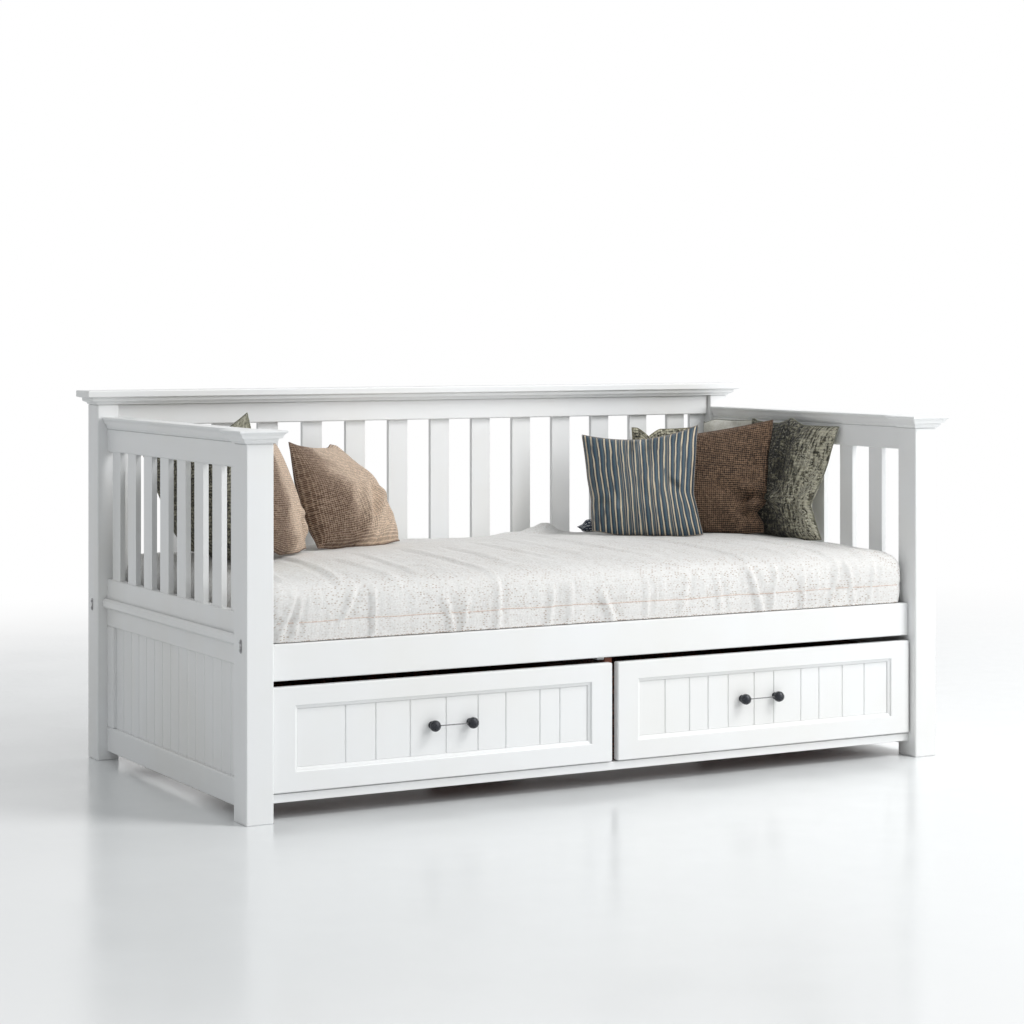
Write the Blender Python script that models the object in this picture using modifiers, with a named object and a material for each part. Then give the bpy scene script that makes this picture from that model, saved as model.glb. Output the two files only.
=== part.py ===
# Storage daybed: a white slatted day bed with a moulded crown, two capped arms with
# beadboard below, a mattress on a slatted base, loose cushions, and two drawers
# that slide out of the front on wooden runners.
# Units are metres, +Z is up, X runs along the bed and the front faces -Y.
# The origin is on the floor, in the middle of the whole outline.
import math

import bmesh
import bpy
from mathutils import Matrix, Vector

# Overall frame
LENGTH = 2.03                  # outside of the left posts to outside of the right posts
DEPTH = 1.10                   # front face of the front posts to back of the back posts
FIT = 0.0003                   # gap left between two pieces that touch
EASE = 0.0025                  # eased edge of a painted board
CUT_OVERRUN = 0.004            # how far a cutter runs past the face it opens
TENON = 0.004                  # how deep a slat is let into its rail

# Posts
POST_DEPTH = 0.077
FRONT_POST_WIDTH = 0.070
BACK_POST_WIDTH = 0.060
FRONT_POST_HEIGHT = 0.894
BACK_POST_HEIGHT = 0.959

# Crown over the back, and the cap over each arm
CROWN_HEIGHT = 0.0375
CROWN_SIDE_OVERHANG = 0.034
CROWN_FRONT_OVERHANG = 0.026
CAP_HEIGHT = 0.031
CAPITAL_OVERHANG = 0.026       # cap past the front post, on its four sides
CAP_RAIL_OVERHANG = 0.016      # cap past the arm rail, on both sides
CAP_END_RADIUS = 0.010
# A moulding's profile, bottom to top: shares of the overhang and of the height
CROWN_PROFILE_SHARES = (
    (0.06, 0.0), (0.12, 0.11), (0.40, 0.21), (0.50, 0.26), (0.50, 0.45), (0.56, 0.47),
    (0.90, 0.52), (1.0, 0.57), (1.0, 0.93), (0.95, 1.0),
)
CAP_PROFILE_SHARES = (
    (0.08, 0.0), (0.13, 0.06), (0.23, 0.13), (0.32, 0.22), (0.34, 0.38), (0.61, 0.40),
    (0.64, 0.48), (0.69, 0.60), (0.82, 0.74), (0.97, 0.82), (1.0, 0.87), (1.0, 0.95), (0.93, 1.0),
)

# Arm frames
ARM_RECESS = 0.026             # outer face of the arm frame behind the posts' outer face
ARM_THICKNESS = 0.024
ARM_TOP_RAIL_HEIGHT = 0.061
ARM_MID_RAIL_TOP = 0.489
ARM_PANEL_TOP = 0.363
ARM_BOTTOM_RAIL_TOP = 0.0905
ARM_BOTTOM_RAIL_BOTTOM = 0.0245
ARM_STILE_WIDTH = 0.046
ARM_SLAT_WIDTH = 0.059
ARM_SLAT_THICKNESS = 0.014
ARM_SLAT_INSET = 0.005         # slat's outer face behind the arm rail's outer face
LEFT_ARM_SLAT_PITCH = 0.1177
RIGHT_ARM_SLAT_PITCH = 0.1351
RIGHT_ARM_STILE_WIDTH = 0.030
BEAD_BOTTOM = 0.411
BEAD_HEIGHT = 0.0265
BEAD_PROJECTION = 0.0135
BEAD_ROUND = 0.0060
ARM_PANEL_RECESS = 0.010
ARM_PANEL_THICKNESS = 0.010
ARM_PLANK_COUNT = 15
GROOVE_WIDTH = 0.0050
GROOVE_DEPTH = 0.0030

# Back frame
BACK_RAIL_RECESS = 0.016       # back rails behind the back posts' front face
BACK_RAIL_THICKNESS = 0.032
BACK_TOP_RAIL_HEIGHT = 0.0575
BACK_SLAT_INSET = 0.015        # slats behind the back rails' front face
BACK_SLAT_WIDTH = 0.0597
BACK_SLAT_THICKNESS = 0.014
BACK_SLAT_PITCH = 0.1353
BACK_LEFT_STILE_WIDTH = 0.0744
BACK_RIGHT_STILE_WIDTH = 0.0534

# Front rails and bed base
BED_RAIL_BOTTOM = 0.3295
BED_RAIL_HEIGHT = 0.0875
FRONT_RAIL_RECESS = 0.0315
FRONT_RAIL_THICKNESS = 0.025
STRIP_BOTTOM = 0.042
STRIP_HEIGHT = 0.0205
CLEAT_SIZE = 0.025
BASE_END_CLEARANCE = 0.015
BASE_SLAT_PITCH = 0.149
BASE_SLAT_WIDTH = 0.070
BASE_SLAT_THICKNESS = 0.018
BASE_SLAT_LAP = 0.002          # how deep a base slat is let into its cleats
BASE_SLAT_INSET = 0.003        # a base slat's ends in from the cleats' outer faces

# Drawers
DRAWER_FRONT_RECESS = 0.022    # drawer fronts behind the front posts' front face
DRAWER_FRONT_THICKNESS = 0.022
DRAWER_FRONT_HEIGHT = 0.2502
DRAWER_STRIP_CLEARANCE = 0.0032
DRAWER_POST_CLEARANCE = 0.0045
DRAWER_CENTRE_CLEARANCE = 0.0082
DRAWER_STILE_WIDTH = 0.0595
DRAWER_BOTTOM_RAIL_HEIGHT = 0.047
DRAWER_TOP_RAIL_HEIGHT = 0.0439
DRAWER_MOULD_WIDTH = 0.0105
DRAWER_PANEL_RECESS = 0.010
# Where the grooves of each drawer's panel stand: shares of the panel's length from its left end
LEFT_GROOVE_SHARES = (0.157, 0.258, 0.375, 0.498, 0.609, 0.707, 0.829, 0.901)
RIGHT_GROOVE_SHARES = (0.098, 0.193, 0.266, 0.346, 0.45, 0.529, 0.64, 0.715, 0.813, 0.905)
DRAWER_BOX_INSET = 0.0105      # box side in from the end of its front
DRAWER_BOX_DEPTH = 0.60
DRAWER_BOX_HEIGHT = 0.222
DRAWER_WALL = 0.012
DRAWER_BOTTOM_RISE = 0.010
DRAWER_BOTTOM_THICKNESS = 0.006
RUNNER_HEIGHT = 0.015
RUNNER_OVERLAP = 0.0095        # how far a runner reaches under its drawer side
RUNNER_BOTTOM = 0.0525
DIVIDER_THICKNESS = 0.024
DIVIDER_X = 0.006              # middle of the divider and of the gap between the drawers
BLOCK_WIDTH = 0.0206
BLOCK_DEPTH = 0.024
BLOCK_HEIGHT = 0.009

# Handles
KNOB_DIAMETER = 0.0285
KNOB_STAND_OFF = 0.019         # panel face to the middle of the knob
KNOB_NECK_DIAMETER = 0.012
KNOB_FLANGE_DIAMETER = 0.019
KNOB_FLANGE_THICKNESS = 0.003
KNOB_SPACING = 0.105
KNOB_HEIGHT = 0.1955
HANDLE_ROD_DIAMETER = 0.003
LEFT_HANDLE_X = -0.4600
RIGHT_HANDLE_X = 0.4516

# Post bolt covers
BOLT_PLATE_HEIGHT = 0.033
BOLT_PLATE_WIDTH = 0.0095
BOLT_PLATE_THICKNESS = 0.0016
BOLT_HEAD_DIAMETER = 0.0066
BOLT_HEAD_THICKNESS = 0.0020
BOLT_HEAD_SPACING = 0.018
BOLT_CENTRE_HEIGHT = 0.418
BOLT_FRONT_INSET = 0.032
BOLT_BACK_INSET = 0.034

# Mattress
MATTRESS_END_CLEARANCE = 0.008
MATTRESS_SIDE_CLEARANCE = 0.004
MATTRESS_THICKNESS = 0.205
MATTRESS_CROWN = 0.022
MATTRESS_SIDE_BULGE = 0.004
MATTRESS_CUTS = 5
# How far the cage's inner loops are drawn out towards the edges, along X, Y and Z
MATTRESS_LOOP_SHARES = (0.20, 0.40, 0.75)

# Each cushion: its name, the arm it lies by, its middle, its width, height and thickness,
# and its turn, lean and roll in degrees. The middle is measured in from that arm's inner
# face, forwards from the back rail and up from the mattress's top.
LEFT, RIGHT = -1, 1
CUSHIONS = (
    ("cushion_striped", RIGHT, (0.4250, 0.2941, 0.1447), (0.345, 0.327, 0.095), (-35.0, 21.3, 0)),
    ("cushion_brown_right", RIGHT, (0.2235, 0.3284, 0.1569), (0.362, 0.345, 0.075), (-42.4, 14.8, 0)),
    ("cushion_green_right", RIGHT, (0.0562, 0.4895, 0.1493), (0.370, 0.335, 0.080), (-82.1, 7.9, 0)),
    ("cushion_pale", RIGHT, (0.0472, 0.1565, 0.1378), (0.240, 0.320, 0.036), (-85.8, 3.9, 0)),
    ("cushion_moss", RIGHT, (0.1988, 0.0435, 0.1363), (0.250, 0.310, 0.040), (-1.2, 3.1, 0)),
    ("cushion_brown_middle", LEFT, (0.5630, 0.2168, 0.1363), (0.365, 0.345, 0.110), (35.1, 34.1, 0)),
    ("cushion_brown_left", LEFT, (0.2896, 0.4939, 0.1561), (0.375, 0.345, 0.100), (63.9, 17.5, 0)),
    ("cushion_green_left", LEFT, (0.1050, 0.4390, 0.1650), (0.620, 0.370, 0.090), (88.0, 15.0, 0)),
)
CUSHION_EDGE_SHARE = 0.10      # seam draw-in at the middle of a side, of the half size
CUSHION_CELLS = 6

HALF_LENGTH = LENGTH / 2
FRONT_Y = (CAPITAL_OVERHANG - DEPTH) / 2
BACK_Y = FRONT_Y + DEPTH
BACK_POST_FRONT_Y = BACK_Y - POST_DEPTH
FRONT_POST_INNER_X = HALF_LENGTH - FRONT_POST_WIDTH
BACK_POST_INNER_X = HALF_LENGTH - BACK_POST_WIDTH
ARM_OUTER_X = HALF_LENGTH - ARM_RECESS
ARM_INNER_X = ARM_OUTER_X - ARM_THICKNESS
ARM_FRONT_Y = FRONT_Y + POST_DEPTH + FIT
ARM_BACK_Y = BACK_POST_FRONT_Y - FIT
BACK_RAIL_FRONT_Y = BACK_POST_FRONT_Y + BACK_RAIL_RECESS
BACK_RAIL_BACK_Y = BACK_RAIL_FRONT_Y + BACK_RAIL_THICKNESS
BACK_TOP_RAIL_BOTTOM = BACK_POST_HEIGHT - BACK_TOP_RAIL_HEIGHT
BED_RAIL_TOP = BED_RAIL_BOTTOM + BED_RAIL_HEIGHT
FRONT_RAIL_Y = FRONT_Y + FRONT_RAIL_RECESS
FRONT_RAIL_BACK_Y = FRONT_RAIL_Y + FRONT_RAIL_THICKNESS
STRIP_TOP = STRIP_BOTTOM + STRIP_HEIGHT
DRAWER_FRONT_Y = FRONT_Y + DRAWER_FRONT_RECESS
DRAWER_FRONT_BACK_Y = DRAWER_FRONT_Y + DRAWER_FRONT_THICKNESS
DRAWER_FRONT_BOTTOM = STRIP_TOP + DRAWER_STRIP_CLEARANCE
DRAWER_FRONT_TOP = DRAWER_FRONT_BOTTOM + DRAWER_FRONT_HEIGHT
DRAWER_OUTER_X = FRONT_POST_INNER_X - DRAWER_POST_CLEARANCE
RUNNER_TOP = RUNNER_BOTTOM + RUNNER_HEIGHT
BASE_SLAT_TOP = BED_RAIL_BOTTOM + CLEAT_SIZE + BASE_SLAT_THICKNESS - BASE_SLAT_LAP
MATTRESS_TOP = BASE_SLAT_TOP + FIT + MATTRESS_THICKNESS
SIDES = (("left", LEFT), ("right", RIGHT))


def clear_scene():
    for old in list(bpy.data.objects):
        bpy.data.objects.remove(old, do_unlink=True)


def new_collection(name):
    collection = bpy.data.collections.new(name)
    bpy.context.scene.collection.children.link(collection)
    return collection


def new_material(name, colour, roughness, metallic=0.0):
    made = bpy.data.materials.new(name)
    made.use_nodes = True
    shader = made.node_tree.nodes["Principled BSDF"]
    shader.inputs["Base Color"].default_value = (*colour, 1.0)
    shader.inputs["Roughness"].default_value = roughness
    shader.inputs["Metallic"].default_value = metallic
    return made


clear_scene()
PARTS = new_collection("storage_daybed")
CUTTERS = new_collection("cutters")
PAINT = new_material("white_paint", (0.83, 0.84, 0.85), 0.38)
WOOD = new_material("brown_wood", (0.20, 0.095, 0.06), 0.6)
IRON = new_material("dark_iron", (0.03, 0.03, 0.035), 0.4, 0.7)
STEEL = new_material("steel", (0.42, 0.42, 0.43), 0.4, 1.0)
TICKING = new_material("cream_ticking", (0.80, 0.77, 0.72), 0.9)
STRIPED = new_material("striped_cloth", (0.13, 0.22, 0.30), 0.9)
BROWN = new_material("brown_cloth", (0.20, 0.13, 0.09), 0.95)
GREEN = new_material("green_cloth", (0.22, 0.23, 0.16), 0.95)
PALE = new_material("pale_cloth", (0.62, 0.61, 0.57), 0.95)
CUSHION_CLOTHS = {
    "cushion_striped": STRIPED, "cushion_pale": PALE, "cushion_green_right": GREEN,
    "cushion_moss": GREEN, "cushion_green_left": GREEN,
}


def keep(obj, name, material, collection=PARTS):
    """Name an object, give it its material and file it in its collection."""
    obj.name = name
    obj.data.name = name
    obj.data.materials.clear()
    obj.data.materials.append(material)
    for old in list(obj.users_collection):
        old.objects.unlink(obj)
    collection.objects.link(obj)
    if collection is CUTTERS:
        obj.hide_render = True
        obj.display_type = "WIRE"
    return obj


def add_bevel(obj, width=EASE, segments=1):
    bevel = obj.modifiers.new("eased_edges", "BEVEL")
    bevel.width = width
    bevel.segments = segments
    bevel.limit_method = "ANGLE"
    return obj


def add_boolean(obj, other, operation):
    cut = obj.modifiers.new(f"{operation.lower()}_{other.name}", "BOOLEAN")
    cut.operation = operation
    cut.object = other
    return obj


def box(name, low, high, material, collection=PARTS, ease=EASE):
    """A board between two corners, with eased edges."""
    low, high = Vector(low), Vector(high)
    bpy.ops.mesh.primitive_cube_add(size=1, location=(low + high) / 2, scale=high - low)
    bpy.ops.object.transform_apply(location=False, rotation=False, scale=True)
    obj = keep(bpy.context.object, name, material, collection)
    if ease:
        add_bevel(obj, ease)
    return obj


def side_box(name, side, near_x, far_x, y_span, z_span, material, **options):
    """A board given by its distances from the middle plane, on one side of it."""
    x_low, x_high = sorted((side * near_x, side * far_x))
    return box(name, (x_low, y_span[0], z_span[0]), (x_high, y_span[1], z_span[1]),
               material, **options)


def many_boxes(name, spans, material):
    """Several separate boards in one hidden object, ready to be joined to a rail."""
    mesh = bpy.data.meshes.new(name)
    bm = bmesh.new()
    for low, high in spans:
        low, high = Vector(low), Vector(high)
        place = Matrix.Translation((low + high) / 2) @ Matrix.Diagonal((*(high - low), 1))
        bmesh.ops.create_cube(bm, size=1, matrix=place)
    bm.to_mesh(mesh)
    bm.free()
    obj = bpy.data.objects.new(name, mesh)
    PARTS.objects.link(obj)
    return keep(obj, name, material, CUTTERS)


def outline_solid(name, loops, thickness, material, collection=PARTS):
    """A flat outline, with holes where it has more loops, given a thickness."""
    curve = bpy.data.curves.new(name, "CURVE")
    curve.dimensions = "2D"
    curve.fill_mode = "BOTH"
    curve.extrude = thickness / 2
    for loop in loops:
        spline = curve.splines.new("POLY")
        spline.points.add(len(loop) - 1)
        for point, (x, y) in zip(spline.points, loop):
            point.co = (x, y, 0, 1)
        spline.use_cyclic_u = True
    obj = bpy.data.objects.new(name, curve)
    PARTS.objects.link(obj)
    weld = obj.modifiers.new("weld", "WELD")
    weld.merge_threshold = 0.00001
    return keep(obj, name, material, collection)


def moulding(name, outlines, heights, material, collection=PARTS):
    """Raise a flat outline through its levels, each outline a little wider or narrower."""
    bm = bmesh.new()
    bottom = face = bm.faces.new([bm.verts.new((x, y, heights[0])) for x, y in outlines[0]])
    for outline, height in zip(outlines[1:], heights[1:]):
        raised = bmesh.ops.extrude_face_region(bm, geom=[face])["geom"]
        if face is not bottom:
            bm.faces.remove(face)
        face = next(item for item in raised if isinstance(item, bmesh.types.BMFace))
        for vertex, (x, y) in zip(face.verts, outline):
            vertex.co = (x, y, height)
    bmesh.ops.recalc_face_normals(bm, faces=bm.faces)
    mesh = bpy.data.meshes.new(name)
    bm.to_mesh(mesh)
    bm.free()
    obj = bpy.data.objects.new(name, mesh)
    PARTS.objects.link(obj)
    return keep(obj, name, material, collection)


def rectangle(x_low, x_high, y_low, y_high):
    return [(x_low, y_low), (x_high, y_low), (x_high, y_high), (x_low, y_high)]


def mirrored(outline, side):
    """The outline drawn for the right side, turned over for the left one."""
    return outline if side > 0 else [(-x, y) for x, y in reversed(outline)]


def make_posts():
    for label, side in SIDES:
        side_box(f"post_front_{label}", side, FRONT_POST_INNER_X, HALF_LENGTH,
                 (FRONT_Y, FRONT_Y + POST_DEPTH), (0, FRONT_POST_HEIGHT), PAINT)
        side_box(f"post_back_{label}", side, BACK_POST_INNER_X, HALF_LENGTH,
                 (BACK_POST_FRONT_Y, BACK_Y), (0, BACK_POST_HEIGHT), PAINT)


def make_crown():
    outlines = []
    for reach, _ in CROWN_PROFILE_SHARES:
        x = HALF_LENGTH + reach * CROWN_SIDE_OVERHANG
        outlines.append(rectangle(-x, x, BACK_POST_FRONT_Y - reach * CROWN_FRONT_OVERHANG, BACK_Y))
    bottom = BACK_POST_HEIGHT + FIT
    heights = [bottom + rise * CROWN_HEIGHT for _, rise in CROWN_PROFILE_SHARES]
    moulding("crown", outlines, heights, PAINT)


def cap_outline(reach):
    """Plan of an arm cap on the right side: a square capital with a rail running back."""
    capital = reach * CAPITAL_OVERHANG
    rail = reach * CAP_RAIL_OVERHANG
    inner, outer = FRONT_POST_INNER_X - capital, HALF_LENGTH + capital
    step = FRONT_Y + POST_DEPTH + capital
    rail_inner, rail_outer = ARM_INNER_X - rail, ARM_OUTER_X + rail
    outline = [(inner, FRONT_Y - capital), (outer, FRONT_Y - capital), (outer, step), (rail_outer, step)]
    for centre_x, start in ((rail_outer - CAP_END_RADIUS, 0), (rail_inner + CAP_END_RADIUS, 1)):
        for turn in range(4):
            angle = math.radians(90 * start + 30 * turn)
            outline.append((centre_x + CAP_END_RADIUS * math.cos(angle),
                            ARM_BACK_Y - CAP_END_RADIUS + CAP_END_RADIUS * math.sin(angle)))
    return outline + [(rail_inner, step), (inner, step)]


def make_arm_caps():
    bottom = FRONT_POST_HEIGHT + FIT
    heights = [bottom + rise * CAP_HEIGHT for _, rise in CAP_PROFILE_SHARES]
    for label, side in SIDES:
        outlines = [mirrored(cap_outline(reach), side) for reach, _ in CAP_PROFILE_SHARES]
        moulding(f"arm_cap_{label}", outlines, heights, PAINT)


def arm_slat_spans(side):
    """Front-to-back spans of the slats of one arm, as many as fit between its posts."""
    middle = (ARM_FRONT_Y + ARM_BACK_Y) / 2
    room, pitch = ARM_BACK_Y - ARM_FRONT_Y, LEFT_ARM_SLAT_PITCH
    spans = []
    if side > 0:
        room, pitch = room - 2 * RIGHT_ARM_STILE_WIDTH, RIGHT_ARM_SLAT_PITCH
        spans = [(ARM_FRONT_Y, ARM_FRONT_Y + RIGHT_ARM_STILE_WIDTH),
                 (ARM_BACK_Y - RIGHT_ARM_STILE_WIDTH, ARM_BACK_Y)]
    count = int(room / pitch)
    for index in range(count):
        centre = middle + (index - (count - 1) / 2) * pitch
        spans.append((centre - ARM_SLAT_WIDTH / 2, centre + ARM_SLAT_WIDTH / 2))
    return spans


def make_arm_frames():
    rail_y = (ARM_FRONT_Y, ARM_BACK_Y)
    top_rail_bottom = FRONT_POST_HEIGHT - ARM_TOP_RAIL_HEIGHT
    slat_outer = ARM_OUTER_X - ARM_SLAT_INSET
    for label, side in SIDES:
        side_box(f"arm_top_rail_{label}", side, ARM_INNER_X, ARM_OUTER_X, rail_y,
                 (top_rail_bottom, FRONT_POST_HEIGHT), PAINT)
        mid_rail = side_box(f"arm_mid_rail_{label}", side, ARM_INNER_X, ARM_OUTER_X, rail_y,
                            (ARM_PANEL_TOP, ARM_MID_RAIL_TOP), PAINT)
        x_low, x_high = sorted((side * slat_outer, side * (slat_outer - ARM_SLAT_THICKNESS)))
        spans = [((x_low, y_low, ARM_MID_RAIL_TOP - TENON), (x_high, y_high, top_rail_bottom - FIT))
                 for y_low, y_high in arm_slat_spans(side)]
        add_boolean(mid_rail, many_boxes(f"arm_slats_{label}", spans, PAINT), "UNION")
        side_box(f"arm_bead_{label}", side, ARM_OUTER_X + FIT, ARM_OUTER_X + BEAD_PROJECTION,
                 rail_y, (BEAD_BOTTOM, BEAD_BOTTOM + BEAD_HEIGHT), PAINT, ease=BEAD_ROUND)
        side_box(f"arm_bottom_rail_{label}", side, ARM_INNER_X, ARM_OUTER_X, rail_y,
                 (ARM_BOTTOM_RAIL_BOTTOM, ARM_BOTTOM_RAIL_TOP), PAINT)
        stile_z = (ARM_BOTTOM_RAIL_TOP + FIT, ARM_PANEL_TOP - FIT)
        side_box(f"arm_stile_front_{label}", side, ARM_INNER_X, ARM_OUTER_X,
                 (ARM_FRONT_Y, ARM_FRONT_Y + ARM_STILE_WIDTH), stile_z, PAINT)
        side_box(f"arm_stile_back_{label}", side, ARM_INNER_X, ARM_OUTER_X,
                 (ARM_BACK_Y - ARM_STILE_WIDTH, ARM_BACK_Y), stile_z, PAINT)
        make_arm_panel(label, side)


def beadboard_outline(length, thickness, groove_shares):
    """Plan of a board whose front edge has V grooves at given shares of its length."""
    outline = [(length / 2, thickness), (-length / 2, thickness), (-length / 2, 0)]
    for groove_share in groove_shares:
        middle = (groove_share - 1 / 2) * length
        outline += [(middle - GROOVE_WIDTH / 2, 0), (middle, GROOVE_DEPTH), (middle + GROOVE_WIDTH / 2, 0)]
    return outline + [(length / 2, 0)]


def make_arm_panel(label, side):
    low_y = ARM_FRONT_Y + ARM_STILE_WIDTH + FIT
    high_y = ARM_BACK_Y - ARM_STILE_WIDTH - FIT
    low_z, high_z = ARM_BOTTOM_RAIL_TOP + FIT, ARM_PANEL_TOP - FIT
    groove_shares = [index / ARM_PLANK_COUNT for index in range(1, ARM_PLANK_COUNT)]
    outline = beadboard_outline(high_y - low_y, ARM_PANEL_THICKNESS, groove_shares)
    panel = outline_solid(f"arm_panel_{label}", [outline], high_z - low_z, PAINT)
    panel.rotation_euler = (0, 0, math.radians(90 * side))
    panel.location = (side * (ARM_OUTER_X - ARM_PANEL_RECESS), (low_y + high_y) / 2, (low_z + high_z) / 2)


def make_back():
    rail_x = BACK_POST_INNER_X - FIT
    box("back_top_rail", (-rail_x, BACK_RAIL_FRONT_Y, BACK_TOP_RAIL_BOTTOM),
        (rail_x, BACK_RAIL_BACK_Y, BACK_POST_HEIGHT), PAINT)
    bed_rail = box("back_bed_rail", (-rail_x, BACK_RAIL_FRONT_Y, BED_RAIL_BOTTOM),
                   (rail_x, BACK_RAIL_BACK_Y, BED_RAIL_TOP), PAINT)
    front = BACK_RAIL_FRONT_Y + BACK_SLAT_INSET
    first = -rail_x + BACK_LEFT_STILE_WIDTH + BACK_SLAT_PITCH - BACK_SLAT_WIDTH
    x_spans = [(-rail_x, -rail_x + BACK_LEFT_STILE_WIDTH), (rail_x - BACK_RIGHT_STILE_WIDTH, rail_x)]
    room = 2 * rail_x - BACK_LEFT_STILE_WIDTH - BACK_RIGHT_STILE_WIDTH
    for index in range(int(room / BACK_SLAT_PITCH)):
        x_low = first + index * BACK_SLAT_PITCH
        x_spans.append((x_low, x_low + BACK_SLAT_WIDTH))
    spans = [((x_low, front, BED_RAIL_TOP - TENON),
              (x_high, front + BACK_SLAT_THICKNESS, BACK_TOP_RAIL_BOTTOM - FIT)) for x_low, x_high in x_spans]
    add_boolean(bed_rail, many_boxes("back_slats", spans, PAINT), "UNION")
    box("back_stretcher", (-rail_x, BACK_RAIL_FRONT_Y, STRIP_BOTTOM),
        (rail_x, BACK_RAIL_BACK_Y, STRIP_TOP), PAINT)


def make_front():
    rail_x = FRONT_POST_INNER_X - FIT
    box("front_bed_rail", (-rail_x, FRONT_RAIL_Y, BED_RAIL_BOTTOM),
        (rail_x, FRONT_RAIL_BACK_Y, BED_RAIL_TOP), PAINT)
    box("front_strip", (-rail_x, FRONT_RAIL_Y, STRIP_BOTTOM),
        (rail_x, FRONT_RAIL_BACK_Y, STRIP_TOP), PAINT, ease=EASE / 2)


def make_slatted_base():
    """Two cleats screwed to the bed rails, with the slats let into their tops."""
    end_x = FRONT_POST_INNER_X - BASE_END_CLEARANCE
    front_y, back_y = FRONT_RAIL_BACK_Y + FIT, BACK_RAIL_FRONT_Y - FIT
    cleat_top = BED_RAIL_BOTTOM + CLEAT_SIZE
    base = box("slatted_base", (-end_x, front_y, BED_RAIL_BOTTOM),
               (end_x, front_y + CLEAT_SIZE, cleat_top), WOOD, ease=0)
    spans = [((-end_x, back_y - CLEAT_SIZE, BED_RAIL_BOTTOM), (end_x, back_y, cleat_top))]
    cleats = many_boxes("back_cleat", spans, WOOD)
    count = int((2 * end_x - BASE_SLAT_INSET) / BASE_SLAT_PITCH) + 1
    slats = []
    for index in range(count):
        x_low = (index - (count - 1) / 2) * BASE_SLAT_PITCH - BASE_SLAT_WIDTH / 2
        slats.append(((x_low, front_y + BASE_SLAT_INSET, cleat_top - BASE_SLAT_LAP),
                      (x_low + BASE_SLAT_WIDTH, back_y - BASE_SLAT_INSET, BASE_SLAT_TOP)))
    add_boolean(cleats, many_boxes("base_slats", slats, WOOD), "UNION")
    add_boolean(base, cleats, "UNION")


def make_divider():
    half = DIVIDER_THICKNESS / 2
    front_y, back_y = FRONT_RAIL_BACK_Y + FIT, BACK_RAIL_FRONT_Y - FIT
    top = BED_RAIL_BOTTOM - FIT
    low, high = DIVIDER_X - half, DIVIDER_X + half
    box("drawer_divider", (low, front_y, STRIP_BOTTOM), (high, back_y, top), WOOD)
    box("divider_block", (low - FIT - BLOCK_WIDTH, front_y, top - BLOCK_HEIGHT),
        (low - FIT, front_y + BLOCK_DEPTH, top), PAINT, ease=EASE / 2)


def drawer_span(side):
    """The X span of a drawer front, from its low end to its high end."""
    return sorted((DIVIDER_X + side * DRAWER_CENTRE_CLEARANCE, side * DRAWER_OUTER_X))


def drawer_box_span(side):
    low, high = drawer_span(side)
    return low + DRAWER_BOX_INSET, high - DRAWER_BOX_INSET


def make_runners():
    back_y = DRAWER_FRONT_BACK_Y + DRAWER_BOX_DEPTH
    z_span = (RUNNER_BOTTOM, RUNNER_TOP)
    for label, side in SIDES:
        low, high = sorted(abs(x) for x in drawer_box_span(side))
        side_box(f"runner_outer_{label}", side, high - RUNNER_OVERLAP, ARM_INNER_X - FIT,
                 (ARM_FRONT_Y, back_y), z_span, WOOD, ease=EASE / 2)
        divider_face = DIVIDER_THICKNESS / 2 + side * DIVIDER_X
        side_box(f"runner_inner_{label}", side, divider_face + FIT, low + RUNNER_OVERLAP,
                 (FRONT_RAIL_BACK_Y + FIT, back_y), z_span, WOOD, ease=EASE / 2)


def make_drawer(label, side, handle_x, groove_shares):
    slide = bpy.data.objects.new(f"slide_{label}", None)
    PARTS.objects.link(slide)
    slide.location = (sum(drawer_span(side)) / 2, DRAWER_FRONT_Y, DRAWER_FRONT_BOTTOM)
    pieces = make_drawer_front(label, side, groove_shares)
    pieces += make_drawer_box(label, side)
    pieces.append(make_handle(label, handle_x))
    bpy.context.view_layer.update()
    for piece in pieces:
        piece.parent = slide
        piece.matrix_parent_inverse = slide.matrix_world.inverted()


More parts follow.
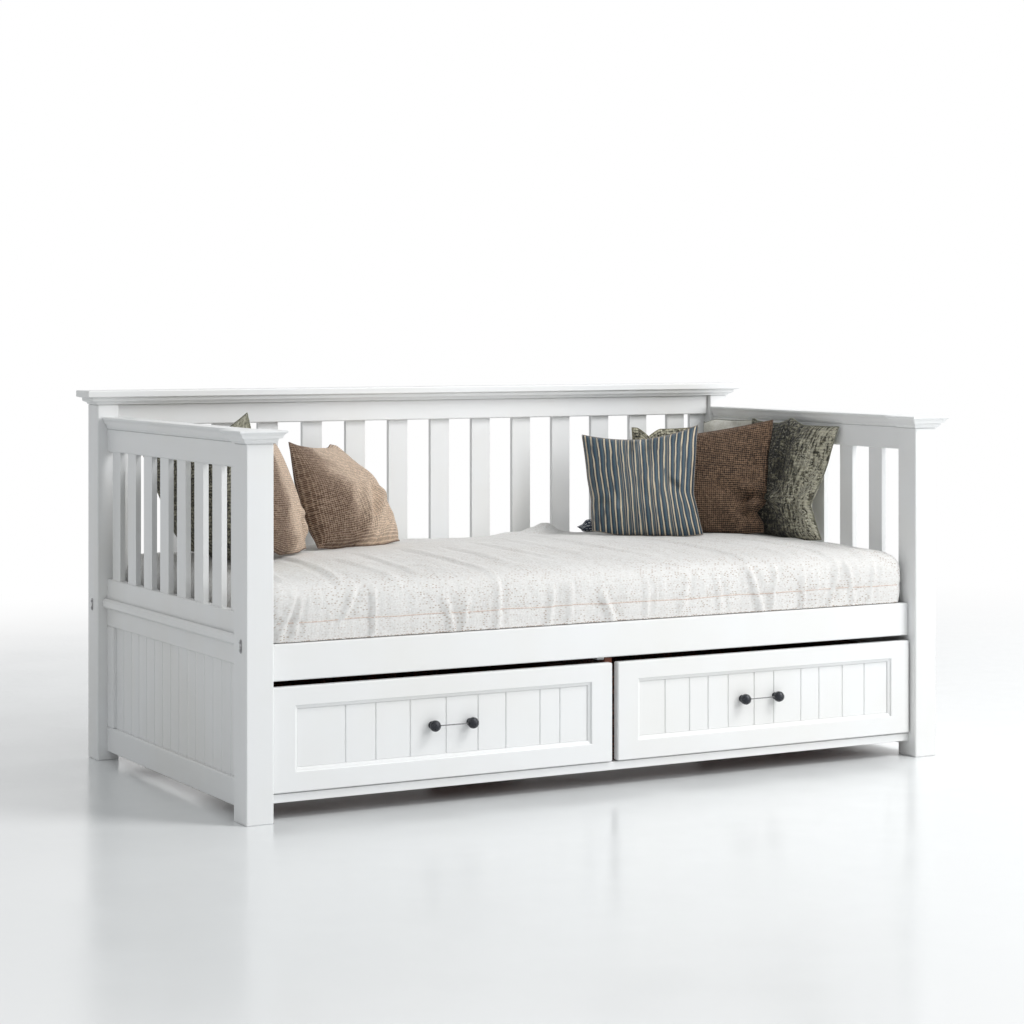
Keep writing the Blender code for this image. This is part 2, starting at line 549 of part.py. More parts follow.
def make_drawer_front(label, side, groove_shares):
    """A frame whose opening has a moulded inner edge, with a beadboard panel inside."""
    low, high = drawer_span(side)
    frame = box(f"drawer_front_{label}", (low, DRAWER_FRONT_Y, DRAWER_FRONT_BOTTOM),
                (high, DRAWER_FRONT_BACK_Y, DRAWER_FRONT_TOP), PAINT)
    half_x = (high - low) / 2 - DRAWER_STILE_WIDTH
    half_z = (DRAWER_FRONT_HEIGHT - DRAWER_BOTTOM_RAIL_HEIGHT - DRAWER_TOP_RAIL_HEIGHT) / 2
    middle = Vector(((low + high) / 2, DRAWER_FRONT_Y,
                     DRAWER_FRONT_BOTTOM + DRAWER_BOTTOM_RAIL_HEIGHT + half_z))
    # Levels of the opening: shares of the mould's width inwards and of the panel's recess
    levels = ((0.0, 0.0), (0.16, 0.10), (0.24, 0.42), (0.50, 0.50), (0.84, 0.66), (1.0, 1.0))
    outlines, depths = [rectangle(-half_x, half_x, -half_z, half_z)], [-CUT_OVERRUN]
    for inward_share, depth_share in levels:
        inset = inward_share * DRAWER_MOULD_WIDTH
        outlines.append(rectangle(inset - half_x, half_x - inset, inset - half_z, half_z - inset))
        depths.append(depth_share * DRAWER_PANEL_RECESS)
    outlines.append(outlines[-1])
    depths.append(DRAWER_FRONT_THICKNESS + CUT_OVERRUN)
    cutter = moulding(f"opening_{label}", outlines, depths, PAINT, CUTTERS)
    cutter.rotation_euler = (math.radians(-90), 0, 0)
    cutter.location = middle
    add_boolean(frame, cutter, "DIFFERENCE")
    panel_x = half_x - DRAWER_MOULD_WIDTH - FIT
    panel_z = half_z - DRAWER_MOULD_WIDTH - FIT
    thickness = DRAWER_FRONT_THICKNESS - DRAWER_PANEL_RECESS
    outline = beadboard_outline(2 * panel_x, thickness, groove_shares)
    panel = outline_solid(f"drawer_panel_{label}", [outline], 2 * panel_z, PAINT)
    panel.location = middle + Vector((0, DRAWER_PANEL_RECESS, 0))
    return [frame, panel]


def make_drawer_box(label, side):
    """Four walls behind the front, with a loose bottom board let in between them."""
    low, high = drawer_box_span(side)
    front_y = DRAWER_FRONT_BACK_Y + FIT
    back_y = DRAWER_FRONT_BACK_Y + DRAWER_BOX_DEPTH
    bottom = RUNNER_TOP + FIT
    middle = Vector(((low + high) / 2, (front_y + back_y) / 2, bottom))
    half_x, half_y = (high - low) / 2, (back_y - front_y) / 2
    inner_x, inner_y = half_x - DRAWER_WALL, half_y - DRAWER_WALL
    walls = outline_solid(f"drawer_box_{label}", [rectangle(-half_x, half_x, -half_y, half_y),
                                                  rectangle(-inner_x, inner_x, -inner_y, inner_y)],
                          DRAWER_BOX_HEIGHT, WOOD)
    walls.location = middle + Vector((0, 0, DRAWER_BOX_HEIGHT / 2))
    board_low = middle + Vector((FIT - inner_x, FIT - inner_y, DRAWER_BOTTOM_RISE))
    board_high = middle + Vector((inner_x - FIT, inner_y - FIT, DRAWER_BOTTOM_RISE + DRAWER_BOTTOM_THICKNESS))
    board = box(f"drawer_bottom_{label}", board_low, board_high, WOOD, ease=0)
    return [walls, board]


def knob_profile():
    """Half outline of a knob from its face down to its flange, about its own axis."""
    radius = KNOB_DIAMETER / 2
    neck = KNOB_NECK_DIAMETER / 2
    flange = KNOB_FLANGE_DIAMETER / 2
    join = math.acos(neck / radius)
    points = [(0, KNOB_STAND_OFF + radius)]
    for step in range(1, 7):
        angle = math.radians(90) - step * (math.radians(90) + join) / 6
        points.append((radius * math.cos(angle), KNOB_STAND_OFF + radius * math.sin(angle)))
    points += [(neck, KNOB_FLANGE_THICKNESS * 2), (flange, KNOB_FLANGE_THICKNESS), (flange, 0), (0, 0)]
    return points


def make_knob(name, location, collection):
    mesh = bpy.data.meshes.new(name)
    bm = bmesh.new()
    corners = [bm.verts.new((x, 0, z)) for x, z in knob_profile()]
    for start, end in zip(corners, corners[1:]):
        bm.edges.new((start, end))
    bm.to_mesh(mesh)
    bm.free()
    obj = bpy.data.objects.new(name, mesh)
    PARTS.objects.link(obj)
    keep(obj, name, IRON, collection)
    screw = obj.modifiers.new("turned", "SCREW")
    screw.steps = 16
    screw.render_steps = 16
    screw.use_merge_vertices = True
    screw.merge_threshold = 0.00001
    obj.rotation_euler = (math.radians(90), 0, 0)
    obj.location = location
    return obj


def make_handle(label, handle_x):
    """Two turned knobs on the drawer panel, with a thin rod from one to the other."""
    face_y = DRAWER_FRONT_Y + DRAWER_PANEL_RECESS - FIT
    low_x, high_x = handle_x - KNOB_SPACING / 2, handle_x + KNOB_SPACING / 2
    handle = make_knob(f"handle_{label}", (low_x, face_y, KNOB_HEIGHT), PARTS)
    second = make_knob(f"second_knob_{label}", (high_x, face_y, KNOB_HEIGHT), CUTTERS)
    bpy.ops.mesh.primitive_cylinder_add(
        vertices=8, radius=HANDLE_ROD_DIAMETER / 2, depth=KNOB_SPACING,
        location=(handle_x, face_y - KNOB_STAND_OFF, KNOB_HEIGHT), rotation=(0, math.radians(90), 0))
    rod = keep(bpy.context.object, f"handle_rod_{label}", STEEL, CUTTERS)
    add_boolean(handle, rod, "UNION")
    add_boolean(handle, second, "UNION")
    return handle


def stadium(length, width, steps=6):
    """A round-ended outline, its long side along X."""
    radius = width / 2
    outline = []
    for centre, start in ((length / 2 - radius, -90), (radius - length / 2, 90)):
        for step in range(steps + 1):
            angle = math.radians(start + step * 180 / steps)
            outline.append((centre + radius * math.cos(angle), radius * math.sin(angle)))
    return outline


def make_bolt_cover(name, side, y):
    """A round-ended plate on a post's outer face, with its two bolt heads."""
    turn = (math.radians(90), 0, math.radians(90))
    curve = outline_solid("plate_outline", [stadium(BOLT_PLATE_HEIGHT, BOLT_PLATE_WIDTH)],
                          BOLT_PLATE_THICKNESS, STEEL)
    curve.rotation_euler = (0, math.radians(90), 0)
    curve.location = (side * (HALF_LENGTH + FIT + BOLT_PLATE_THICKNESS / 2), y, BOLT_CENTRE_HEIGHT)
    bpy.context.view_layer.update()
    graph = bpy.context.evaluated_depsgraph_get()
    mesh = bpy.data.meshes.new_from_object(curve.evaluated_get(graph))
    plate = bpy.data.objects.new(name, mesh)
    PARTS.objects.link(plate)
    plate.matrix_world = curve.matrix_world
    bpy.data.objects.remove(curve, do_unlink=True)
    keep(plate, name, STEEL)
    depth = BOLT_HEAD_THICKNESS + BOLT_PLATE_THICKNESS / 2
    head_x = side * (HALF_LENGTH + FIT + BOLT_PLATE_THICKNESS / 2 + depth / 2)
    for number, offset in ((1, -BOLT_HEAD_SPACING / 2), (2, BOLT_HEAD_SPACING / 2)):
        bpy.ops.mesh.primitive_cylinder_add(
            vertices=12, radius=BOLT_HEAD_DIAMETER / 2, depth=depth,
            location=(head_x, y, BOLT_CENTRE_HEIGHT + offset), rotation=turn)
        add_boolean(plate, keep(bpy.context.object, f"{name}_head_{number}", STEEL, CUTTERS), "UNION")


def make_bolt_covers():
    for label, side in SIDES:
        make_bolt_cover(f"bolt_cover_front_{label}", side, FRONT_Y + BOLT_FRONT_INSET)
        make_bolt_cover(f"bolt_cover_back_{label}", side, BACK_Y - BOLT_BACK_INSET)


def add_subdivision(obj):
    smooth = obj.modifiers.new("soft", "SUBSURF")
    smooth.levels = 1
    smooth.render_levels = 1


def make_mattress():
    """A crowned pad between the rails, its sides a little fuller at half height."""
    half_x = FRONT_POST_INNER_X - MATTRESS_END_CLEARANCE
    low_y = FRONT_RAIL_BACK_Y + MATTRESS_SIDE_CLEARANCE
    high_y = BACK_RAIL_FRONT_Y - MATTRESS_SIDE_CLEARANCE
    half_y = (high_y - low_y) / 2
    mesh = bpy.data.meshes.new("mattress")
    bm = bmesh.new()
    bmesh.ops.create_cube(bm, size=2)
    bmesh.ops.subdivide_edges(bm, edges=bm.edges[:], cuts=MATTRESS_CUTS, use_grid_fill=True)
    for vertex in bm.verts:
        u, v, w = (math.copysign(abs(place) ** share, place)
                   for place, share in zip(vertex.co, MATTRESS_LOOP_SHARES))
        bulge = MATTRESS_SIDE_BULGE * (1 - w * w)
        crown = MATTRESS_CROWN * (1 - u ** 4) * (1 - v ** 4) if w > 0 else 0
        vertex.co = (u * (half_x - MATTRESS_SIDE_BULGE + bulge),
                     v * (half_y - MATTRESS_SIDE_BULGE + bulge),
                     (w + 1) / 2 * (MATTRESS_THICKNESS - MATTRESS_CROWN) + crown)
    bm.to_mesh(mesh)
    bm.free()
    obj = bpy.data.objects.new("mattress", mesh)
    PARTS.objects.link(obj)
    keep(obj, "mattress", TICKING)
    obj.location = (0, (low_y + high_y) / 2, BASE_SLAT_TOP + FIT)
    add_subdivision(obj)
    mesh.shade_smooth()


def cushion_mesh(name, width, height, thickness):
    """Two crowned faces that meet in a seam, drawn in between the corners but straight below."""
    bm = bmesh.new()
    bmesh.ops.create_grid(bm, x_segments=CUSHION_CELLS, y_segments=CUSHION_CELLS, size=1)
    for vertex in bm.verts:
        u, v, _ = vertex.co
        draw_x = 1 - CUSHION_EDGE_SHARE * (1 - v * v)
        draw_y = 1 - CUSHION_EDGE_SHARE * (1 - u * u) if v > 0 else 1
        crown = ((1 - u * u) * (1 - v * v)) ** 0.5
        vertex.co = (u * draw_x * width / 2, v * draw_y * height / 2, crown * thickness / 2)
    back = bmesh.ops.duplicate(bm, geom=bm.verts[:] + bm.edges[:] + bm.faces[:])["geom"]
    for item in back:
        if isinstance(item, bmesh.types.BMVert):
            item.co.z = -item.co.z
    bmesh.ops.reverse_faces(bm, faces=[item for item in back if isinstance(item, bmesh.types.BMFace)])
    bmesh.ops.remove_doubles(bm, verts=bm.verts, dist=0.0001)
    edge_crease = bm.edges.layers.float.new("crease_edge")
    corner_crease = bm.verts.layers.float.new("crease_vert")
    for edge in bm.edges:
        if all(vertex.co.z == 0 for vertex in edge.verts):
            edge[edge_crease] = 1
    for vertex in bm.verts:
        if len(vertex.link_edges) == 2:
            vertex[corner_crease] = 1
    mesh = bpy.data.meshes.new(name)
    bm.to_mesh(mesh)
    bm.free()
    mesh.shade_smooth()
    return mesh


def make_cushions():
    for name, side, (from_arm, from_back, rise), size, (turn, lean, roll) in CUSHIONS:
        obj = bpy.data.objects.new(name, cushion_mesh(name, *size))
        PARTS.objects.link(obj)
        keep(obj, name, CUSHION_CLOTHS.get(name, BROWN))
        upright = Matrix.Rotation(math.radians(90 - lean), 4, "X")
        about_face = Matrix.Rotation(math.radians(roll), 4, "Z")
        facing = Matrix.Rotation(math.radians(turn), 4, "Z")
        place = Matrix.Translation((side * (ARM_INNER_X - from_arm),
                                    BACK_RAIL_FRONT_Y - from_back, MATTRESS_TOP + rise))
        obj.matrix_world = place @ facing @ upright @ about_face
        add_subdivision(obj)


make_posts()
make_crown()
make_arm_caps()
make_arm_frames()
make_back()
make_front()
make_slatted_base()
make_divider()
make_runners()
make_drawer("left", -1, LEFT_HANDLE_X, LEFT_GROOVE_SHARES)
make_drawer("right", 1, RIGHT_HANDLE_X, RIGHT_GROOVE_SHARES)
make_bolt_covers()
make_mattress()
make_cushions()
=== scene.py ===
import math
from functools import partialmethod

import bmesh
import bpy
import numpy as np
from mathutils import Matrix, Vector, noise
from mathutils.bvhtree import BVHTree


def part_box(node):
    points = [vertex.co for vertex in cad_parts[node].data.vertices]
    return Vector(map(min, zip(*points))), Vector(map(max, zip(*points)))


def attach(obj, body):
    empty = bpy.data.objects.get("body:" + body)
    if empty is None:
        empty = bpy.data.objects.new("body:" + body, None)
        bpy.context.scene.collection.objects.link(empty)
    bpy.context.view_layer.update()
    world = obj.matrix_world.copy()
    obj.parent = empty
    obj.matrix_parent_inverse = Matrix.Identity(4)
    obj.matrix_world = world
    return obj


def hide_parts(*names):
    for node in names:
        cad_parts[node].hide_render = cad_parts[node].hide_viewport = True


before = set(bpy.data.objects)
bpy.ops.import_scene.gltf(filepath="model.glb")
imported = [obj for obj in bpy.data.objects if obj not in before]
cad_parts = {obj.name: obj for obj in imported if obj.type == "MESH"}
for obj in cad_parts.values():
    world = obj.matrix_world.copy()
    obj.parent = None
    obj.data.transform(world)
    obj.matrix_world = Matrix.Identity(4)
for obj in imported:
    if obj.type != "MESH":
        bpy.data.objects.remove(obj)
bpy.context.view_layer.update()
scene = bpy.context.scene
print("bed frame loaded:", len(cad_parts), "solids")

studio = {
    "cameraSpot": (-3.306, -5.9665, 1.1643),
    "cameraTurn": -28.922,      # degrees about the vertical, level otherwise
    "sensorWidth": 36.0,
    "lens": 88.22,
    "shiftY": -0.1792,
    "sight": 200.0,             # how far the camera sees
    "skyGlow": 0.51,
    "skyColour": (0.97, 0.99, 1.0),
    "lampAim": (0.2, 0.0, 0.5),
    # each softbox: where it stands, its side's length, its watts
    "softboxes": {
        "frontSoftbox": ((3.3, -4.9, 2.5), 2.2, 104.0),
        "sideSoftbox": ((5.2, 0.8, 2.6), 2.6, 62.0),
        "highSoftbox": ((2.6, -3.6, 5.2), 2.2, 186.0),
    },
    "floorColour": (0.82, 0.835, 0.84),
    "floorHalf": 30.0,
    "floorFadeFrom": 1.9,       # metres from the bed's middle, where the floor starts to turn white
    "floorFadeTo": 4.6,
    "floorFadeWidth": 0.82,     # below 1 the white begins further out to the sides
}


class Wire:
    # an output of a material's node, so that shader sums read as plain sums
    def __init__(self, tree, socket):
        self.tree, self.socket = tree, socket

    def sum(self, operation, *values):
        node = self.tree.nodes.new("ShaderNodeMath")
        node.operation = operation
        for place, value in zip(node.inputs, values):
            plug(self.tree, place, value)
        return Wire(self.tree, node.outputs[0])

    def apply(self, operation, other=0.0):
        return self.sum(operation, self, other)

    def __rsub__(self, other):
        return self.sum("SUBTRACT", other, self)

    __add__ = __radd__ = partialmethod(apply, "ADD")
    __mul__ = __rmul__ = partialmethod(apply, "MULTIPLY")
    __sub__ = partialmethod(apply, "SUBTRACT")
    __truediv__ = partialmethod(apply, "DIVIDE")
    __pow__ = partialmethod(apply, "POWER")
    __mod__ = partialmethod(apply, "FLOORED_MODULO")
    __gt__ = partialmethod(apply, "GREATER_THAN")
    __lt__ = partialmethod(apply, "LESS_THAN")
    __abs__ = partialmethod(apply, "ABSOLUTE")


def plug(tree, place, value):
    if isinstance(value, Wire):
        tree.links.new(value.socket, place)
    elif place.type == "RGBA" and len(value) == 3:
        place.default_value = (*value, 1.0)
    else:
        place.default_value = value


class Shading:
    # the nodes of a material or of the sky
    def __init__(self, owner):
        owner.use_nodes = True
        self.tree = owner.node_tree

    def add(self, kind, sockets=None, settings=None, out=0):
        node = self.tree.nodes.new("ShaderNode" + kind)
        for key, value in (settings or {}).items():
            if key == "stops":
                fillRamp(node.color_ramp, value)
            else:
                setattr(node, key, value)
        for key, value in (sockets or {}).items():
            plug(self.tree, node.inputs[key], value)
        return Wire(self.tree, node.outputs[out])

    def surface(self, shader, output):
        self.tree.links.new(shader.socket, self.tree.nodes[output].inputs["Surface"])

    def seen(self):
        # 1 for what the camera sees, straight on or in a reflection, and 0 for light on the objects
        rays = self.add("LightPath").socket.node.outputs
        camera, glossy, through = (
            Wire(self.tree, rays[f"Is {kind} Ray"]) for kind in ("Camera", "Glossy", "Transmission"))
        return camera + glossy + through


class Finish(Shading):
    # one material, whose shader's sockets are filled with done()
    def __init__(self, name):
        self.material = bpy.data.materials.new(name)
        super().__init__(self.material)
        self.shader = self.tree.nodes["Principled BSDF"]

    def done(self, colour, roughness, normal=None, others=None):
        sockets = {"Base Color": colour, "Roughness": roughness, **(others or {})}
        if normal is not None:
            sockets["Normal"] = normal
        for key, value in sockets.items():
            plug(self.tree, self.shader.inputs[key], value)
        return self.material

    def place(self, out, scale=(1, 1, 1), shift=(0, 0, 0)):
        start = self.add("TexCoord", out=out)
        return self.add("Mapping", {"Vector": start, "Scale": scale, "Location": shift})

    def parts(self, vector):
        split = self.add("SeparateXYZ", {"Vector": vector})
        outputs = split.socket.node.outputs
        return [Wire(self.tree, outputs[i]) for i in range(3)]

    def join(self, x, y):
        return self.add("CombineXYZ", {"X": x, "Y": y})

    def cloud(self, vector, scale, detail=2.0, rough=0.5):
        sockets = {"Vector": vector, "Scale": scale, "Detail": detail, "Roughness": rough}
        return self.add("TexNoise", sockets)

    def solidCloud(self, scale, detail=2.0, rough=0.5):
        return self.cloud(self.place("Object"), scale, detail, rough)

    def clothCloud(self, across, up, detail=2.0, rough=0.5):
        # noise with its own scale along each of the cloth's two directions
        return self.cloud(self.place("UV", (across, up, 1)), 1.0, detail, rough)

    def chance(self, **where):
        # a number from 0 to 1 for each cell, given by W or by Vector
        return self.add("TexWhiteNoise", where, {"noise_dimensions": "1D" if "W" in where else "2D"})

    def step(self, value, low, high, first=0.0, last=1.0):
        sockets = {"Value": value, "From Min": low, "From Max": high, "To Min": first, "To Max": last}
        return self.add("MapRange", sockets, {"interpolation_type": "SMOOTHSTEP"})

    def band(self, cell, low, high):
        # 1 in the middle of a cell, 0 towards its edges
        return self.step(abs(cell - 0.5), low, high, 1.0, 0.0)

    def blend(self, factor, first, second):
        return self.add("Mix", {0: factor, 6: first, 7: second}, {"data_type": "RGBA"}, out=2)

    def relief(self, height, distance, strength=1.0, under=None):
        sockets = {"Height": height, "Distance": distance, "Strength": strength}
        if under is not None:
            sockets["Normal"] = under
        return self.add("Bump", sockets)


def fillRamp(ramp, stops):
    while len(ramp.elements) < len(stops):
        ramp.elements.new(0.5)
    for element, (spot, colour) in zip(ramp.elements, stops):
        element.position = spot
        element.color = (*colour, 1.0)


paint = {
    "colour": (0.82, 0.83, 0.835),
    "warm": (0.8, 0.8, 0.785),
    "dirt": (0.6, 0.585, 0.56),
    "strokesAcross": 340.0,     # brush hairs per metre
    "strokesAlong": 7.0,
    "strokeDepth": 0.00022,
    "roughness": 0.34,
}


def paintFinish(name, along, slatsFrom=None):
    # satin paint brushed along the board; above slatsFrom the boards are upright slats
    finish = Finish(name)

    def strokes(axis):
        scale = [paint["strokesAcross"]] * 3
        scale[axis] = paint["strokesAlong"]
        hairs = finish.cloud(finish.place("Object", scale), 1.0, 3.0, 0.6)
        grain = [46.0] * 3
        grain[axis] = 1.4
        boards = finish.cloud(finish.place("Object", grain), 1.0, 4.0, 0.55)
        return hairs * 0.6 + boards * 0.9

    marks = strokes(along)
    if slatsFrom is not None:
        height = finish.parts(finish.place("Object"))[2]
        upright = height > slatsFrom
        marks = marks * (1 - upright) + strokes(2) * upright
    drift = finish.solidCloud(2.6, 3.0, 0.6)
    specks = finish.solidCloud(95.0)
    colour = finish.blend(finish.step(drift, 0.35, 0.75), paint["colour"], paint["warm"])
    colour = finish.blend(finish.step(specks, 0.7, 0.82) * 0.1, colour, paint["dirt"])
    orange = finish.solidCloud(420.0, 1.0)
    gloss = paint["roughness"]
    return finish.done(
        colour,
        finish.step(marks, 0.4, 1.1, gloss - 0.05, gloss + 0.12),
        finish.relief(marks + orange * 0.25, paint["strokeDepth"], 0.55),
        {"Specular IOR Level": 0.45})


wood = {
    "dark": (0.065, 0.015, 0.008),
    "light": (0.23, 0.072, 0.038),
    "roughness": 0.55,
}


def woodFinish(name, along):
    # bare reddish-brown wood with long grain and short pores
    finish = Finish(name)
    scale = [34.0] * 3
    scale[along] = 1.6
    bend = finish.solidCloud(1.8)
    grain = finish.cloud(finish.place("Object", scale), 1.0, 6.0, 0.62) + bend * 0.35
    pores = [420.0] * 3
    pores[along] = 16.0
    pits = finish.cloud(finish.place("Object", pores), 1.0, 2.0)
    rings = abs((grain * 7.0) % 1.0 - 0.5) * 2.0
    colour = finish.blend(finish.step(rings, 0.1, 0.95), wood["dark"], wood["light"])
    colour = finish.blend(finish.step(pits, 0.58, 0.72) * 0.55, colour, wood["dark"])
    return finish.done(
        colour,
        finish.step(pits, 0.3, 0.7, wood["roughness"] - 0.08, wood["roughness"] + 0.14),
        finish.relief(rings * 0.4 + pits, 0.0004, 0.5))


iron = {
    "colour": (0.018, 0.02, 0.026),
    "worn": (0.085, 0.086, 0.09),
    "rodColour": (0.13, 0.13, 0.135),
    "rodHalf": 0.038,           # from the handle's middle to where the knobs begin
}


def ironFinish(name, node):
    # charcoal knobs with rubbed spots, and the thin grey rod between them
    low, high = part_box(node)
    middle = (low.x + high.x) / 2
    finish = Finish(name)
    across = finish.parts(finish.place("Object", shift=(-middle, 0, 0)))[0]
    rod = abs(across) < iron["rodHalf"]
    rubbed = finish.solidCloud(130.0, 4.0, 0.6)
    pits = finish.solidCloud(900.0)
    colour = finish.blend(finish.step(rubbed, 0.52, 0.75) * 0.5, iron["colour"], iron["worn"])
    return finish.done(
        finish.blend(rod, colour, iron["rodColour"]),
        finish.step(rubbed, 0.3, 0.75, 0.36, 0.2),
        finish.relief(pits, 0.00012, 0.5),
        {"Metallic": 0.35})


steel = {
    "colour": (0.4, 0.4, 0.41),
    "stain": (0.23, 0.23, 0.235),
}


def steelFinish(name):
    # bolt covers: dull pressed steel with fine brushing
    finish = Finish(name)
    brushed = finish.cloud(finish.place("Object", (60, 900, 60)), 1.0, 3.0)
    stain = finish.solidCloud(160.0, 3.0)
    return finish.done(
        finish.blend(finish.step(stain, 0.4, 0.7), steel["colour"], steel["stain"]),
        finish.step(brushed, 0.3, 0.7, 0.3, 0.46),
        finish.relief(brushed, 0.00008, 0.5),
        {"Metallic": 0.9})


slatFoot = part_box("front_bed_rail")[1].z    # above the bed rail's top the back's boards are slats
paintAlong = {
    "lengthways": paintFinish("paintLengthways", 0),
    "crossways": paintFinish("paintCrossways", 1),
    "upright": paintFinish("paintUpright", 2),
    "armSlats": paintFinish("paintArmSlats", 1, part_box("arm_bead_left")[1].z + 0.001),
    "backSlats": paintFinish("paintBackSlats", 0, slatFoot),
}
woodAlong = [woodFinish("woodLengthways", 0), woodFinish("woodCrossways", 1)]
steelCover = steelFinish("pressedSteel")


def paintFor(name):
    if name.startswith("arm_mid_rail"):
        return paintAlong["armSlats"]
    if name == "back_bed_rail":
        return paintAlong["backSlats"]
    if name.startswith(("post", "arm_stile", "arm_panel", "drawer_panel")):
        return paintAlong["upright"]
    if name.startswith("arm"):
        return paintAlong["crossways"]
    return paintAlong["lengthways"]


for name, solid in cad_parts.items():
    made = solid.data.materials[0].name.split(".")[0]
    if made == "white_paint":
        solid.data.materials[0] = paintFor(name)
    elif made == "brown_wood":
        solid.data.materials[0] = woodAlong[0 if name in ("slatted_base", "drawer_divider") else 1]
    elif made == "dark_iron":
        solid.data.materials[0] = ironFinish("iron_" + name, name)
    elif made == "steel":
        solid.data.materials[0] = steelCover
print("paint, wood and metal on the frame")

ticking = {
    "linen": (0.905, 0.9, 0.885),
    "shade": (0.835, 0.825, 0.805),
    "slub": (0.95, 0.95, 0.94),
    "dash": (0.44, 0.33, 0.255),
    "dashPitch": (0.0088, 0.005),
    "dashStrength": 0.85,
    "yarn": 0.0013,
    "seam": (0.6, 0.455, 0.395),
    "stitch": (0.76, 0.66, 0.6),
    "piping": (0.36, 0.285, 0.235),
}


def wave(value, pitch):
    return (value * (2 * math.pi / pitch)).apply("SINE")


def weave(u, v, pitch):
    # plain weave: yarns over and under, a rounded hump each
    return wave(u, pitch) * wave(v, pitch)


def fabric(name):
    finish = Finish(name)
    cloth = finish.place("UV")
    u, v, _ = finish.parts(cloth)
    return finish, cloth, u, v


def tent(run):
    # 0 in the middle of each cell, 1 at its edges
    return abs(run % 1.0 - 0.5) * 2.0


def tickingFinish():
    finish, cloth, u, v = fabric("mattressTicking")
    wobble = finish.cloud(cloth, 22.0) - 0.5
    row = (v + wobble * 0.0045) / ticking["dashPitch"][1]
    rowStep = row % 1.0
    rowNumber = row - rowStep
    start = finish.chance(W=rowNumber)
    along = (u + wobble * 0.007) / ticking["dashPitch"][0] + start * 3.0
    cell = along % 1.0
    each = finish.chance(Vector=finish.join(along - cell, rowNumber))
    dash = finish.band(cell, 0.12, 0.4) * finish.band(rowStep, 0.1, 0.38)
    worn = finish.step(finish.cloud(cloth, 5.5, 3.0, 0.6), 0.34, 0.62)
    front = finish.step(v, -0.15, 0.15, 1.0, 0.5)
    mask = dash * (worn * 0.7 + 0.3) * front * finish.step(each, 0.45, 0.95) * ticking["dashStrength"]
    bright = dash * finish.step(each, 0.05, 0.42, 0.9, 0.0)
    slub = finish.clothCloud(900, 40) + finish.clothCloud(40, 900)
    mottle = finish.clothCloud(160, 260, 2.0, 0.6)
    shaded = finish.step(finish.cloud(cloth, 3.0, 3.0), 0.35, 0.7)
    tone = finish.blend(shaded, ticking["linen"], ticking["shade"])
    tone = finish.blend(finish.step(mottle + (slub - 1.0) * 0.4, 0.42, 0.66), ticking["shade"], tone)
    tone = finish.blend(finish.step(mottle, 0.5, 0.7) * 0.6 + bright * 0.5, tone, ticking["slub"])
    colour = finish.blend(mask, tone, ticking["dash"])
    yarn = weave(u, v, ticking["yarn"])
    creases = finish.clothCloud(26, 9, 4.0, 0.6)
    fine = finish.relief(yarn * 0.5 + slub * 0.8 + mottle + bright, 0.0009, 0.6)
    return finish.done(
        colour,
        finish.step(slub, 0.6, 1.4, 0.78, 0.92),
        finish.relief(creases, 0.009, 0.55, fine),
        {"Sheen Weight": 0.1, "Sheen Roughness": 0.5})


def seamFinish(name, colour, stitch):
    # a sewn edge: the cloth rolled over a cord, with stitches across it
    finish = Finish(name)
    thread = finish.step(finish.solidCloud(240.0, 1.0), 0.42, 0.58)
    return finish.done(
        finish.blend(thread, colour, stitch),
        finish.step(thread, 0, 1, 0.75, 0.9),
        finish.relief(thread, 0.0006, 0.6))


stripes = {
    "period": 0.0183,
    "cream": (0.61, 0.52, 0.375),
    "navy": (0.005, 0.014, 0.036),
    "teal": (0.012, 0.058, 0.098),
    "steel": (0.075, 0.102, 0.112),
    "pale": (0.27, 0.255, 0.205),
    # the shades between two cream lines: where each is at its purest, in one kind of band and in the other
    "blueRun": [
        (0.0, "navy"), (0.16, "teal"), (0.34, "steel"), (0.47, "navy"), (0.63, "pale"), (0.72, "navy"),
        (0.9, "teal")],
    "greyRun": [(0.0, "steel"), (0.2, "navy"), (0.45, "teal"), (0.66, "steel"), (0.84, "navy")],
}


def stripedFinish():
    # hand-drawn looking upright bands: a cream line, then blues and a grey, never quite straight
    finish, cloth, u, v = fabric("stripedSatin")
    slow = finish.clothCloud(24, 7) - 0.5
    quick = finish.clothCloud(70, 34) - 0.5
    run = (u + slow * 0.011 + quick * 0.0022) / stripes["period"]
    cell = run % 1.0
    number = run - cell
    width = finish.cloud(finish.join(number, v * 9.0), 1.37, 1.0)
    runs = []
    for kind in ("blueRun", "greyRun"):
        stops = [(spot, stripes[shade]) for spot, shade in stripes[kind]]
        runs.append(finish.add("ValToRGB", {"Fac": cell}, {"stops": stops}))
    which = finish.chance(W=number)
    bands = finish.blend(which > 0.45, *runs)
    edge = abs(cell - 0.5)
    line = finish.step(edge + (width - 0.5) * 0.2, 0.375, 0.41)
    faded = finish.step(finish.clothCloud(90, 12), 0.3, 0.46)
    colour = finish.blend(line * (faded * 0.7 + 0.3), bands, stripes["cream"])
    fleck = finish.step(finish.clothCloud(700, 120), 0.5, 0.75)
    colour = finish.blend(fleck * 0.14, colour, stripes["steel"])
    yarn = weave(u, v, 0.0012)
    creases = finish.clothCloud(16, 22, 3.0, 0.6)
    return finish.done(
        colour,
        finish.step(fleck + line, 0.0, 1.6, 0.42, 0.62),
        finish.relief(creases, 0.005, 0.5, finish.relief(yarn + line * 1.5, 0.0005, 0.4)),
        {"Sheen Weight": 0.06, "Sheen Roughness": 0.35})


